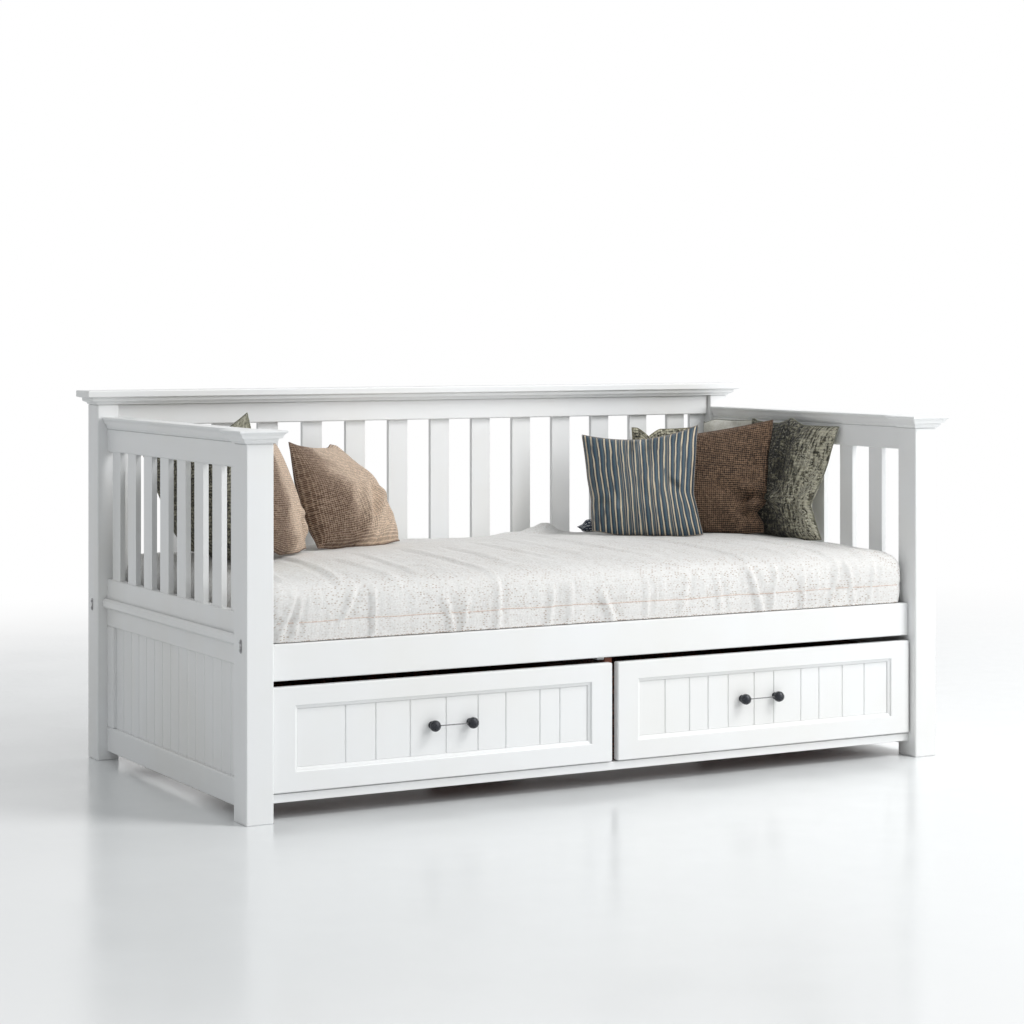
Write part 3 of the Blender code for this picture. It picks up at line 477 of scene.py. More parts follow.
waffle = {
    "pitch": (0.006, 0.0063),
    "depth": 0.003,
    "light": {
        "pit": (0.07, 0.036, 0.02), "body": (0.56, 0.388, 0.264),
        "ridge": (0.9, 0.73, 0.58), "worn": (0.6, 0.445, 0.328)},
    "deep": {
        "pit": (0.015, 0.007, 0.003), "body": (0.153, 0.088, 0.05),
        "ridge": (0.45, 0.295, 0.19), "worn": (0.18, 0.11, 0.068)},
}


def waffleFinish(name, shades, ridgeUp=1.0, paintedShadeLevel=1.0):
    # brown waffle cloth: raised ridges both ways, the ones across the cushion stronger
    finish, cloth, u, v = fabric(name)
    wobble = finish.cloud(cloth, 30.0) - 0.5
    drift = finish.cloud(cloth, 9.0) - 0.5
    jitter = finish.cloud(cloth, 150.0, 1.0) - 0.5
    across = (u + wobble * 0.0034 + jitter * 0.0034) / waffle["pitch"][0]
    down = (v + drift * 0.006 + wobble * 0.0026 + jitter * 0.0028) / waffle["pitch"][1]
    each = finish.chance(Vector=finish.join(across - across % 1.0, down - down % 1.0))
    ribs = finish.step(tent(down), 0.35, 1.0)
    posts = finish.step(tent(across), 0.4, 1.0)
    height = ribs * 0.68 + posts * 0.42
    fray = finish.clothCloud(520, 900)
    tone = height + (fray - 0.5) * 0.6 + (each - 0.5) * 0.5
    # over the cloth's own brown, the pit colour is painted shade in the hollows and the ridge colour painted
    # highlight on the raised threads
    colour = finish.blend(finish.step(tone, 0.02, 0.52), shades["pit"], shades["body"])
    colour = finish.blend(finish.step(tone, 0.52, 1.0) * ridgeUp, colour, shades["ridge"])
    rubbed = finish.step(finish.cloud(cloth, 6.0, 3.0), 0.35, 0.7)
    colour = finish.blend(rubbed * 0.25, colour, shades["worn"])
    if paintedShadeLevel < 1.0:   # painted shade: the pile is darker towards one side and the foot, and elsewhere a painted highlight lightens it
        brushed = finish.step(u + v * 0.25 + wobble * 0.05 + drift * 0.09, -0.12, 0.01, paintedShadeLevel, 1.0)
        # painted shade towards the pit colour, then painted light towards the ridge colour
        colour = finish.blend(1 - brushed, colour, shades["pit"])
        colour = finish.blend(finish.step(brushed, paintedShadeLevel, 1.0) * 0.42, colour, shades["ridge"])
    return finish.done(
        colour,
        finish.step(fray, 0.3, 0.7, 0.8, 0.95),
        finish.relief(height + fray * 0.3 + each * 0.3, waffle["depth"], 0.85),
        {"Sheen Weight": 0.08, "Sheen Roughness": 0.4, "Sheen Tint": (0.9, 0.72, 0.6, 1.0)})


gauze = {
    "dark": (0.012, 0.012, 0.009),
    "green": (0.125, 0.117, 0.078),
    "light": (0.52, 0.495, 0.37),
    "fleck": (0.78, 0.75, 0.61),
    "gridPitch": (0.0115, 0.0098),
}


def gauzeFinish(name, blotch, paintedHighlightFrom, lift=0.0, paintedLightSpan=(0.0, 1.0, 0.0)):
    # crinkled double gauze: upright puckers, dark grid threads and cream flecks, partly the cloth's own and
    # thickening towards one side as painted highlight;
    # it pales from paintedLightSpan's first place across the cloth to its second, by its third value, as
    # painted light
    finish, cloth, u, v = fabric(name)
    wobble = finish.cloud(cloth, 45.0, 3.0) - 0.5
    drift = finish.cloud(cloth, 12.0) - 0.5
    pucker = finish.clothCloud(110, 30, 3.0, 0.6)
    bark = finish.clothCloud(48, 64, 3.0, 0.65)
    acrossPitch, downPitch = gauze["gridPitch"]
    acrossLine = tent((u + wobble * 0.006 + drift * 0.01) / acrossPitch)
    downLine = tent((v + wobble * 0.007 + drift * 0.008) / downPitch)
    grid = finish.step(acrossLine, 0.5, 0.88) * 0.45 + finish.step(downLine, 0.46, 0.86) * 0.75
    start, end, faded = paintedLightSpan
    # painted light also fades the dark threads on the lit side
    grid = grid * finish.step(u, start, end, 1.0, 1.0 - faded)
    # partly the cloth's own mottle, partly painted shade in the pucker hollows and painted highlight on
    # their crests
    tone = pucker * 0.55 + bark * 0.75 + finish.step(u, start, end, lift, lift + faded * 0.8)
    colour = finish.blend(finish.step(tone, 0.5, 0.61), gauze["dark"], gauze["green"])
    colour = finish.blend(finish.step(tone, 0.62, 0.78), colour, gauze["light"])
    colour = finish.blend(grid * finish.step(bark, 0.4, 0.62, 1.0, 0.45), colour, gauze["dark"])
    patches = finish.cloud(cloth, blotch, 3.0, 0.6)
    lint = finish.clothCloud(150, 200, 2.0, 0.6)
    flecks = finish.step(lint + (patches - 0.5) * 0.7, 0.56, 0.64)
    # painted highlight: the flecks, partly the cloth's own, thicken towards the lit side
    worn = finish.step(u, paintedHighlightFrom[0], paintedHighlightFrom[1], 0.28, 1.0)
    colour = finish.blend(flecks * worn, colour, gauze["fleck"])
    colour = finish.blend(finish.step(patches, 0.56, 0.72) * 0.45, colour, gauze["dark"])
    # painted highlight: cream on the puckers where the painted light falls
    paintedLightShare = finish.step(u, start, end) * faded * 2.0 * finish.step(pucker, 0.45, 0.55)
    colour = finish.blend(finish.step(paintedLightShare, 0.0, 1.0), colour, gauze["fleck"])
    return finish.done(
        colour,
        finish.step(bark, 0.3, 0.7, 0.82, 0.95),
        finish.relief(pucker * 0.9 + bark * 0.7 - grid * 0.4, 0.01, 1.0),
        {"Sheen Weight": 0.08, "Sheen Roughness": 0.5})


linen = {
    "colour": (0.86, 0.85, 0.8),
    "shade": (0.56, 0.54, 0.45),
    "yarn": 0.0014,
}


def linenFinish():
    finish, cloth, u, v = fabric("paleLinen")
    slub = finish.clothCloud(700, 50) + finish.clothCloud(50, 700)
    crumple = finish.cloud(cloth, 14.0, 4.0, 0.6)
    yarns = finish.relief(weave(u, v, linen["yarn"]) + slub, 0.0005, 0.4)
    return finish.done(
        finish.blend(finish.step(slub * 0.5 + crumple, 0.7, 1.3), linen["colour"], linen["shade"]),
        finish.step(slub, 0.6, 1.4, 0.78, 0.93),
        finish.relief(crumple, 0.008, 0.6, yarns),
        {"Sheen Weight": 0.2})


navyPrint = {
    "ground": (0.016, 0.028, 0.052),
    "stroke": (0.62, 0.64, 0.66),
    "pitch": (0.013, 0.0085),
    "rowShift": 0.37,           # how far each row starts from the one before it, in strokes
}


def navyPrintFinish():
    # dark blue cotton with rows of short white strokes
    finish, cloth, u, v = fabric("navyStrokes")
    wobble = finish.cloud(cloth, 60.0) - 0.5
    row = (v + wobble * 0.004) / navyPrint["pitch"][1]
    rowStep = row % 1.0
    cell = ((u + wobble * 0.006) / navyPrint["pitch"][0] + (row - rowStep) * navyPrint["rowShift"]) % 1.0
    stroke = finish.band(cell, 0.26, 0.36) * finish.band(rowStep, 0.1, 0.2)
    fray = finish.cloud(cloth, 420.0)
    inked = stroke * finish.step(fray, 0.3, 0.5)
    return finish.done(
        finish.blend(inked, navyPrint["ground"], navyPrint["stroke"]),
        finish.step(fray, 0.3, 0.7, 0.75, 0.9),
        finish.relief(fray + stroke, 0.0006, 0.5),
        {"Sheen Weight": 0.3})


mattress = {
    "voxel": 0.008,
    "quickVoxel": 0.02,
    "edgeTop": 0.555,           # height of the shoulder line
    "crown": 0.015,
    "cornerRound": 0.034,
    "shoulderRound": 0.038,
    "footRound": 0.014,
    "sideBulge": 0.006,
    "seamHeight": 0.466,
    "pipeHeight": 0.4199,
    "overRail": 0.0215,         # how far the cover rolls out over the bed rail
    "railTop": 0.4175,
    "foldStrength": 2.1,
    "topStrength": 0.75,
    "foldWaist": 0.48,          # the height at which a slanting side fold is at its stated place
    # folds down the front: place along the bed, half width, height, lowest and highest point, slant
    "frontFolds": [
        (-0.895, 0.01, 0.0055, 0.43, 0.55, 0.35), (-0.868, 0.008, 0.004, 0.43, 0.52, 0.2),
        (-0.745, 0.012, 0.005, 0.47, 0.56, 0.5), (-0.667, 0.007, 0.005, 0.42, 0.53, 0.0),
        (-0.468, 0.01, 0.005, 0.41, 0.49, -0.3), (-0.415, 0.008, 0.0045, 0.41, 0.47, 0.15),
        (-0.325, 0.011, 0.0045, 0.42, 0.56, 0.0), (-0.172, 0.011, 0.0045, 0.42, 0.5, 0.1),
        (-0.118, 0.009, 0.004, 0.42, 0.51, 0.0), (-0.02, 0.013, 0.005, 0.41, 0.48, -0.5),
        (0.11, 0.009, 0.003, 0.42, 0.49, 0.0), (0.225, 0.012, 0.0025, 0.44, 0.52, 0.2),
        (0.33, 0.01, 0.0025, 0.42, 0.5, -0.2), (0.445, 0.013, 0.007, 0.41, 0.56, -0.35),
        (0.505, 0.009, 0.0045, 0.43, 0.54, 0.1), (0.598, 0.009, 0.0045, 0.42, 0.5, 0.0),
        (0.645, 0.008, 0.003, 0.42, 0.49, 0.1), (0.7, 0.01, 0.0055, 0.43, 0.55, 0.25),
        (0.755, 0.009, 0.004, 0.42, 0.53, -0.2), (0.826, 0.009, 0.004, 0.42, 0.51, 0.1)],
    "endFolds": (-0.3, -0.05, 0.22, 0.38),# places of the folds down both ends
    # soft folds across the top: from, to, half width, height
    "topFolds": [
        ((-0.656, 0.056), (-0.741, -0.465), 0.022, 0.006), ((-0.8, 0.1), (-0.875, -0.44), 0.02, 0.005),
        ((-0.56, -0.06), (-0.6, -0.46), 0.026, 0.0045), ((-0.46, 0.05), (-0.505, -0.4), 0.02, 0.004),
        ((-0.296, 0.058), (-0.319, -0.47), 0.022, 0.005), ((-0.16, 0.12), (-0.21, -0.36), 0.026, 0.004),
        ((-0.02, 0.2), (-0.05, -0.3), 0.024, 0.004), ((0.12, 0.3), (0.06, -0.3), 0.028, 0.0035),
        ((0.26, 0.34), (0.2, -0.4), 0.026, 0.004), ((0.46, 0.1), (0.445, -0.47), 0.02, 0.006),
        ((0.6, 0.05), (0.585, -0.44), 0.024, 0.0035), ((0.72, 0.0), (0.705, -0.47), 0.02, 0.005),
        ((0.84, -0.1), (0.82, -0.46), 0.024, 0.004)],
    # low heaps on the top: place, half width, height
    "heaps": [
        ((0.345, 0.455), 0.058, 0.032), ((0.235, 0.47), 0.05, 0.008), ((-0.1, 0.465), 0.08, 0.005),
        ((0.9, -0.05), 0.05, 0.004)],
}


def newMesh(name, bm):
    mesh = bpy.data.meshes.new(name)
    bm.to_mesh(mesh)
    bm.free()
    return mesh


def newPiece(name, mesh, finish):
    piece = bpy.data.objects.new(name, mesh)
    scene.collection.objects.link(piece)
    if not mesh.materials:
        mesh.materials.append(finish)
    return piece


def applyModifiers(piece):
    bpy.context.view_layer.update()
    seen = piece.evaluated_get(bpy.context.evaluated_depsgraph_get())
    mesh = bpy.data.meshes.new_from_object(seen)
    old = piece.data
    piece.modifiers.clear()
    piece.data = mesh
    bpy.data.meshes.remove(old)


def points(piece):
    spots = np.zeros(len(piece.data.vertices) * 3)
    piece.data.vertices.foreach_get("co", spots)
    return spots.reshape(-1, 3)


def movePoints(piece, spots):
    piece.data.vertices.foreach_set("co", spots.ravel())
    piece.data.update()


def smoothStep(value, low, high):
    t = np.clip((value - low) / (high - low), 0, 1)
    return t * t * (3 - 2 * t)


def lumps(x, y, z):
    # smooth noise at each of a row of places
    return np.array([noise.noise(Vector(spot)) for spot in np.broadcast(x, y, z)])


def foldHeight(x, y, start, end, width):
    # a ridge along a line: 1 on the line, fading to its sides and ends, with a valley beside it
    ax, ay = start
    bx, by = end[0] - ax, end[1] - ay
    length = math.hypot(bx, by)
    along = ((x - ax) * bx + (y - ay) * by) / (length * length)
    side = ((x - ax) * by - (y - ay) * bx) / length
    side = side + 0.35 * width * np.sin(along * 5.0 + ax * 40)
    ends = smoothStep(along, -0.12, 0.22) * (1 - smoothStep(along, 0.85, 1.15))
    ridge = np.exp(-(side / width) ** 2) - 0.55 * np.exp(-((side - 1.5 * width) / (0.9 * width)) ** 2)
    return ridge * ends


def clothMapBox(mesh, rest, top):
    # the cover laid out flat: across the bed, and down its sides by how far a point hangs below the top
    layer = mesh.uv_layers.new(name="cloth")
    drop = np.maximum(top - rest[:, 2], 0)
    for face in mesh.polygons:
        nx, ny, nz = face.normal
        ends = abs(nx) > abs(ny) and abs(nz) < 0.7
        for corner in face.loop_indices:
            spot = mesh.loops[corner].vertex_index
            x, y, _ = rest[spot]
            if ends:
                layer.data[corner].uv = (x + math.copysign(drop[spot], x), y)
            else:
                layer.data[corner].uv = (x, y + math.copysign(drop[spot], y))


def makeMattress():
    low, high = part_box("mattress")
    top = mattress["edgeTop"]
    bm = bmesh.new()
    bmesh.ops.create_cube(bm, size=1.0)
    middle = ((low.x + high.x) / 2, (low.y + high.y) / 2)
    size = Vector((high.x - low.x, high.y - low.y - 0.004, top - low.z))
    bmesh.ops.scale(bm, vec=size, verts=bm.verts)
    bmesh.ops.translate(bm, vec=(*middle, (low.z + top) / 2), verts=bm.verts)
    for rounding, chosen in (
            (mattress["cornerRound"], lambda e: abs(e.verts[0].co.z - e.verts[1].co.z) > 0.01),
            (mattress["shoulderRound"], lambda e: min(v.co.z for v in e.verts) > top - 1e-4),
            (mattress["footRound"], lambda e: max(v.co.z for v in e.verts) < low.z + 1e-4)):
        edges = [e for e in bm.edges if chosen(e) and e.calc_face_angle(0) > 0.3]
        bmesh.ops.bevel(
            bm, geom=edges, offset=rounding, segments=6, profile=0.5, affect="EDGES", material=-1)
    piece = newPiece("mattressCover", newMesh("mattressCover", bm), tickingFinish())
    remesh = piece.modifiers.new("evenSkin", "REMESH")
    remesh.mode = "VOXEL"
    remesh.voxel_size = mattress["voxel"]
    remesh.use_smooth_shade = True
    applyModifiers(piece)
    mesh = piece.data
    bm = bmesh.new()
    bm.from_mesh(mesh)
    # two rings of points just above the bed rail, where the cover rolls out over it
    for above in (0.0002, 0.0018):
        everything = bm.verts[:] + bm.edges[:] + bm.faces[:]
        ring = (0, 0, mattress["railTop"] + above)
        bmesh.ops.bisect_plane(bm, geom=everything, dist=1e-5, plane_co=ring, plane_no=(0, 0, 1))
    bm.to_mesh(mesh)
    bm.free()
    rest = points(piece)
    clothMapBox(mesh, rest, top)
    normals = np.array([v.normal[:] for v in mesh.vertices])
    x, y, level = rest.T
    across = (x - middle[0]) / ((high.x - low.x) / 2)
    deep = (y - middle[1]) / ((high.y - low.y) / 2)
    moved = rest.copy()
    topShare = smoothStep(level, top - 0.05, top) * smoothStep(normals[:, 2], 0.0, 0.6)
    rise = mattress["crown"] * (1 - np.abs(across) ** 10) * (1 - np.abs(deep) ** 4)
    for start, end, width, height in mattress["topFolds"]:
        rise += height * mattress["topStrength"] * foldHeight(x, y, start, end, width * 0.62)
    for spot, width, height in mattress["heaps"]:
        away = ((x - spot[0]) / width) ** 2 + ((y - spot[1]) / (width * 0.55)) ** 2
        rise += height * np.exp(-away)
        crumple = np.where(away < 4, lumps(x * 34, y * 60, 2.9), 0.0)
        rise += 0.3 * height * crumple * np.exp(-away * 0.7)
    rough = lumps(x * 7, y * 5, 0.3) * 0.0035 + lumps(x * 19, y * 11, 4.1) * 0.0016
    moved[:, 2] += (rise + rough) * topShare
    side = 1 - np.abs(normals[:, 2])
    bulge = mattress["sideBulge"] * np.sin(np.clip((level - 0.42) / (top - 0.42), 0, 1) * math.pi)
    pull = lumps(x * 9, level * 6, 7.7) * 0.003 + lumps(x * 30, level * 8, 1.7) * 0.0022
    seamDip = -0.0028 * np.exp(-((level - mattress["seamHeight"]) / 0.006) ** 2)
    out = bulge + seamDip + pull * smoothStep(level, 0.4, 0.44)
    for spot, width, height, foot, head, slant in mattress["frontFolds"]:
        line = spot + (level - mattress["foldWaist"]) * slant
        away = (x - line) / width
        ridge = np.exp(-(away * 1.25) ** 2) - 0.6 * np.exp(-((away * 1.25 - 1.7) / 0.9) ** 2)
        reach = smoothStep(level, foot - 0.03, foot + 0.01)
        reach *= 1 - smoothStep(level, head - 0.01, head + 0.035)
        out += height * mattress["foldStrength"] * ridge * reach * (deep < 0)
    for spot in mattress["endFolds"]:
        for end in (-1, 1):
            away = (y - spot - (level - mattress["foldWaist"]) * 0.3 * end) / 0.012
            atEnd = (np.abs(across) > 0.9) * (across * end > 0)
            out += 0.004 * np.exp(-away ** 2) * smoothStep(level, 0.41, 0.45) * atEnd
    out *= smoothStep(level, low.z + 0.03, low.z + 0.07)
    flat = np.stack([normals[:, 0], normals[:, 1], np.zeros(len(rest))], 1)
    moved += flat * (out * side)[:, None]
    railTop, overRail = mattress["railTop"], mattress["overRail"]
    roll = smoothStep(level, railTop + 0.0003, railTop + 0.0017)
    moved[:, 1] -= overRail * roll * smoothStep(-normals[:, 1], 0.2, 0.8)
    foremost = np.where(level < railTop + 0.001, low.y + 0.0005, low.y - overRail - 0.013)
    moved[:, 1] = np.clip(moved[:, 1], foremost, high.y + 0.002)
    moved[:, 0] = np.clip(moved[:, 0], low.x - 0.005, high.x + 0.005)
    moved[:, 2] = np.maximum(moved[:, 2], low.z)
    movePoints(piece, moved)
    mesh.shade_smooth()
    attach(piece, "frame")
    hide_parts("mattress")
    return piece


def skinOf(piece):
    bpy.context.view_layer.update()
    return BVHTree.FromObject(piece, bpy.context.evaluated_depsgraph_get())


def sewnTube(name, path, radius, finish):
    # cloth rolled to a thin tube along a closed line of points
    curve = bpy.data.curves.new(name, "CURVE")
    curve.dimensions = "3D"
    curve.bevel_depth = radius
    curve.bevel_resolution = 1
    spline = curve.splines.new("POLY")
    spline.points.add(len(path) - 1)
    for point, spot in zip(spline.points, path):
        point.co = (*spot, 1)
    spline.use_cyclic_u = True
    drawn = bpy.data.objects.new(name + "Line", curve)
    scene.collection.objects.link(drawn)
    mesh = bpy.data.meshes.new_from_object(drawn.evaluated_get(bpy.context.evaluated_depsgraph_get()))
    bpy.data.objects.remove(drawn)
    mesh.name = name
    mesh.materials.clear()
    mesh.shade_smooth()
    piece = newPiece(name, mesh, finish)
    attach(piece, "frame")
    return piece


def mattressSeams(cover):
    low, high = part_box("mattress")
    skin = skinOf(cover)
    pink = seamFinish("seamThread", ticking["seam"], ticking["stitch"])
    edge = seamFinish("coverPiping", ticking["piping"], ticking["shade"])
    middle = Vector(((low.x + high.x) / 2, (low.y + high.y) / 2, 0))
    around = 520
    halfWide, halfDeep = high.x - middle.x, high.y - middle.y
    for name, level, radius, sway, finish in (
            ("mattressSeam", mattress["seamHeight"], 0.0012, 0.0035, pink),
            ("mattressPiping", mattress["pipeHeight"], 0.0009, 0.0, edge)):
        path = []
        for step in range(around):
            turn = 2 * math.pi * step / around
            ring = Vector((math.cos(turn), math.sin(turn), 0))
            grow = 1 / max(abs(ring.x) / halfWide, abs(ring.y) / halfDeep)
            spot = middle + ring * grow
            spot.z = level + sway * noise.noise(Vector((spot.x * 6, spot.y * 6, 2.2))) * 1.6
            # the cloth is found from outside: towards a point 7 cm in from each corner, else straight in
            corner = middle.copy()
            corner.x += math.copysign(halfWide - 0.07, spot.x)
            corner.y += math.copysign(halfDeep - 0.07, spot.y - middle.y)
            if abs(spot.x) > abs(corner.x) and abs(spot.y - middle.y) > abs(corner.y - middle.y):
                inwards = Vector((corner.x - spot.x, corner.y - spot.y, 0))
            elif abs(spot.x) > abs(corner.x):
                inwards = Vector((-spot.x, 0, 0))
            else:
                inwards = Vector((0, middle.y - spot.y, 0))
            inwards.normalize()
            hit = skin.ray_cast(spot - inwards * 0.05, inwards)
            if hit[0] is not None:
                path.append(hit[0] + hit[1] * radius * 0.25)
        piece = sewnTube(name, path, radius, finish)


print("sewing the mattress cover")
cover = makeMattress()
mattressSeams(cover)

sewing = {
    "cells": 40,                # squares across each side of a cover
    "quickCells": 20,
    "wall": 0.006,              # how far apart the two sides start
    "drawIn": 0.1,              # how far the filling first draws each side in at its middle
    "contactGap": 0.0008,
    "foldDepth": 1.8,
    "seamRadius": 0.0016,
}
# Lengths are in metres, and places on a cover run from -1 to 1 across and up.
# cut: its flat size; thick: the swelling of its front and back; lowSlung: how much flatter its top is;
# corners: where top left, top right, bottom right and bottom left rest, as its front is seen;
# blunt: how much each of them is drawn in, in the same order; pull: how far the left, right, top and bottom
# sides are drawn in at their middle; notches: side, place, half width, depth; peaks: place, half width and
# height of a rise of the top; crinkle: height, then how fine across and up; crinkleShare: how much of it
# stays, all over; folds of the front: from, to, half width, height
brownPair = {
    "finish": waffleFinish("brownWaffleLight", waffle["light"], 1.0, 0.4), "slot": "brown_cloth",
    "fill": 0.75, "round": 0.6, "crinkle": (0.0012, 46, 30), "seam": (0.17, 0.115, 0.085)}
cushions = {
    "cushion_striped": {
        "finish": stripedFinish(), "slot": "striped_cloth", "fill": 0.7, "thick": (0.062, 0.04),
        "round": 0.62, "blunt": (0, 0, 0.04, 0.05), "lowSlung": 0.3, "cut": (0.345, 0.327),
        "corners": [
            (0.423, 0.359, 0.853), (0.701, 0.1665, 0.883), (0.657, 0.06, 0.567), (0.384, 0.248, 0.575)],
        "pull": (0.006, 0.016, 0.03, -0.006),
        "notches": [("right", -0.25, 0.75, 0.012), ("left", -0.35, 0.5, 0.008)],
        "crinkle": (0.0012, 40, 22),
        "folds": [
            ((0.55, 0.02), (0.78, -0.16), 0.02, 0.007), ((0.6, -0.18), (0.86, -0.05), 0.018, -0.005),
            ((-0.9, -0.35), (-0.66, -0.3), 0.03, 0.004), ((0.05, 0.98), (0.1, 0.62), 0.03, -0.006),
            ((-0.1, 0.96), (-0.04, 0.66), 0.025, 0.004), ((-0.85, -0.88), (-0.5, -0.5), 0.04, 0.004)],
        "seam": (0.3, 0.27, 0.24)},
    "cushion_brown_right": {
        "finish": waffleFinish("brownWaffleDark", waffle["deep"], 0.75), "slot": "brown_cloth",
        "fill": 0.65, "thick": (0.055, 0.034), "round": 0.62, "blunt": (0, 0, 0.06, 0.05), "lowSlung": 0.3,
        "cut": (0.362, 0.345),
        "corners": [
            (0.6395, 0.331, 0.835), (0.9005, 0.0725, 0.8975), (0.851, 0.031, 0.564), (0.575, 0.262, 0.565)],
        "pull": (0.004, 0.006, 0.006, 0.0),
        "notches": [("right", -0.62, 0.26, 0.028), ("right", -0.3, 0.16, -0.012)],
        "crinkle": (0.0012, 34, 30),
        "folds": [
            ((0.98, -0.28), (0.62, -0.42), 0.03, -0.022), ((0.98, -0.52), (0.7, -0.36), 0.035, 0.016),
            ((0.95, 0.3), (0.86, -0.3), 0.03, 0.006), ((0.62, -0.42), (0.8, -0.86), 0.045, -0.006),
            ((0.1, -0.2), (0.62, -0.26), 0.05, -0.003)],
        "seam": (0.13, 0.085, 0.062)},
    "cushion_green_right": {
        "finish": gauzeFinish("greenGauze", 10.0, (0.02, 0.16), -0.13, (-0.04, 0.18, 0.24)),
        "slot": "green_cloth", "fill": 0.6, "thick": (0.04, 0.035), "round": 0.7,
        "blunt": (0, 0, 0.04, 0.04), "cut": (0.37, 0.335),
        "corners": [
            (0.905, 0.185, 0.893), (0.953, -0.178, 0.885), (0.917, -0.158, 0.557), (0.862, 0.203, 0.562)],
        "pull": (0.01, 0.03, 0.004, -0.006), "notches": [("right", -0.38, 0.8, 0.052)],
        "crinkle": (0.0036, 62, 26), "crinkleShare": 0.06,
        "folds": [
            ((0.9, 0.75), (0.55, -0.75), 0.05, -0.005), ((0.35, 0.9), (0.25, -0.6), 0.05, 0.004),
            ((0.0, 0.8), (-0.05, -0.8), 0.05, -0.004), ((0.75, -0.2), (0.95, -0.9), 0.04, 0.004)],
        "peaks": [(-0.08, 0.3, 0.02)], "seam": (0.3, 0.3, 0.23)},
    "cushion_pale": {
        "finish": linenFinish(), "slot": "pale_cloth", "fill": 0.4, "thick": (0.018, 0.018), "round": 0.8,
        "cut": (0.24, 0.32),
        "corners": [
            (0.916, 0.46, 0.892), (0.934, 0.227, 0.892), (0.916, 0.226, 0.562), (0.898, 0.46, 0.562)],
        "pull": (0.006, 0.006, 0.004, 0.0), "peaks": [(-0.95, 0.5, -0.014)], "crinkle": (0, 26, 30),
        "folds": [((-0.8, 0.95), (0.1, 0.55), 0.06, 0.006), ((0.1, 0.95), (0.8, 0.6), 0.05, -0.005)],
        "seam": (0.34, 0.33, 0.29)},
    "cushion_moss": {
        "finish": gauzeFinish("mossPrint", 34.0, (-0.14, 0.05), 0.06), "slot": "green_cloth", "fill": 0.4,
        "thick": (0.02, 0.02), "round": 0.8, "cut": (0.25, 0.31),
        "corners": [
            (0.663, 0.47, 0.866), (0.896, 0.465, 0.864), (0.891, 0.448, 0.562), (0.65, 0.453, 0.562)],
        "pull": (0.008, 0.008, 0.006, 0.0), "peaks": [(-0.5, 0.35, -0.024)], "crinkle": (0, 40, 30),
        "seam": (0.24, 0.22, 0.14)},
    "cushion_brown_middle": {
        **brownPair, "thick": (0.096, 0.036), "blunt": (0, 0, 0.05, 0.06), "lowSlung": 0.45,
        "cut": (0.365, 0.345),
        "corners": [
            (-0.5648, 0.2365, 0.858), (-0.327, 0.466, 0.833), (-0.19, 0.3, 0.567),
            (-0.5237, 0.1495, 0.568)],
        "pull": (-0.015, 0.004, 0.016, 0.0), "peaks": [(0.88, 0.22, 0.008)], "crinkleShare": 0.024,
        "folds": [
            ((-0.15, -0.8), (0.1, 0.02), 0.035, 0.007), ((-0.05, -0.88), (0.3, -0.1), 0.03, -0.006),
            ((0.05, -0.92), (0.48, -0.25), 0.032, 0.006), ((0.18, -0.95), (0.7, -0.45), 0.03, -0.005),
            ((-0.3, -0.75), (-0.12, -0.05), 0.035, -0.005), ((0.3, -0.6), (0.42, 0.25), 0.04, 0.004)]},
    "cushion_brown_left": {
        **brownPair, "thick": (0.034, 0.058), "blunt": (0, 0, 0.06, 0.1), "lowSlung": 0.35,
        "cut": (0.375, 0.345),
        "corners": [
            (-0.8, -0.135, 0.893), (-0.625, 0.192, 0.859), (-0.546, 0.154, 0.57), (-0.761, -0.0755, 0.585)],
        "pull": (0.006, -0.014, 0.012, 0.0),
        "folds": [
            ((0.95, -0.9), (0.3, -0.45), 0.035, -0.006), ((0.9, -0.75), (0.2, -0.2), 0.035, 0.005),
            ((0.0, -0.9), (0.4, -0.3), 0.04, 0.005)]},
    "cushion_green_left": {
        "finish": gauzeFinish("greenMottled", 26.0, (-0.16, -0.28), 0.02, (-0.16, -0.28, 0.6)),
        "slot": "green_cloth", "fill": 0.65, "thick": (0.05, 0.04), "round": 0.7,
        "blunt": (0, 0.05, 0.05, 0.05), "cut": (0.62, 0.37),
        "corners": [
            (-0.895, -0.257, 0.957), (-0.932, 0.408, 0.842), (-0.805, 0.392, 0.564),
            (-0.823, -0.248, 0.564)],
        "pull": (-0.014, 0.015, 0.036, 0.0), "crinkle": (0.003, 55, 28),
        "folds": [
            ((-0.5, 0.9), (-0.45, -0.7), 0.05, -0.006), ((0.0, 0.8), (0.05, -0.8), 0.05, 0.005),
            ((0.5, 0.8), (0.45, -0.8), 0.05, -0.005)],
        "seam": (0.27, 0.27, 0.2)},
}
navyCorner = {
    "finish": navyPrintFinish(), "fill": 0.4, "thick": (0.022, 0.022), "round": 0.8, "cut": (0.18, 0.11),
    "corners": [(0.478, 0.478, 0.574), (0.64, 0.482, 0.574), (0.625, 0.395, 0.572), (0.45, 0.4, 0.572)],
    "pull": (0.004, 0.006, 0.004, 0.004), "crinkle": (0.002, 60, 50),
    "folds": [((-0.9, 0.2), (-0.3, 0.0), 0.03, 0.006), ((-0.7, -0.7), (-0.2, 0.5), 0.03, -0.005)],
    "seam": (0.03, 0.04, 0.06)}


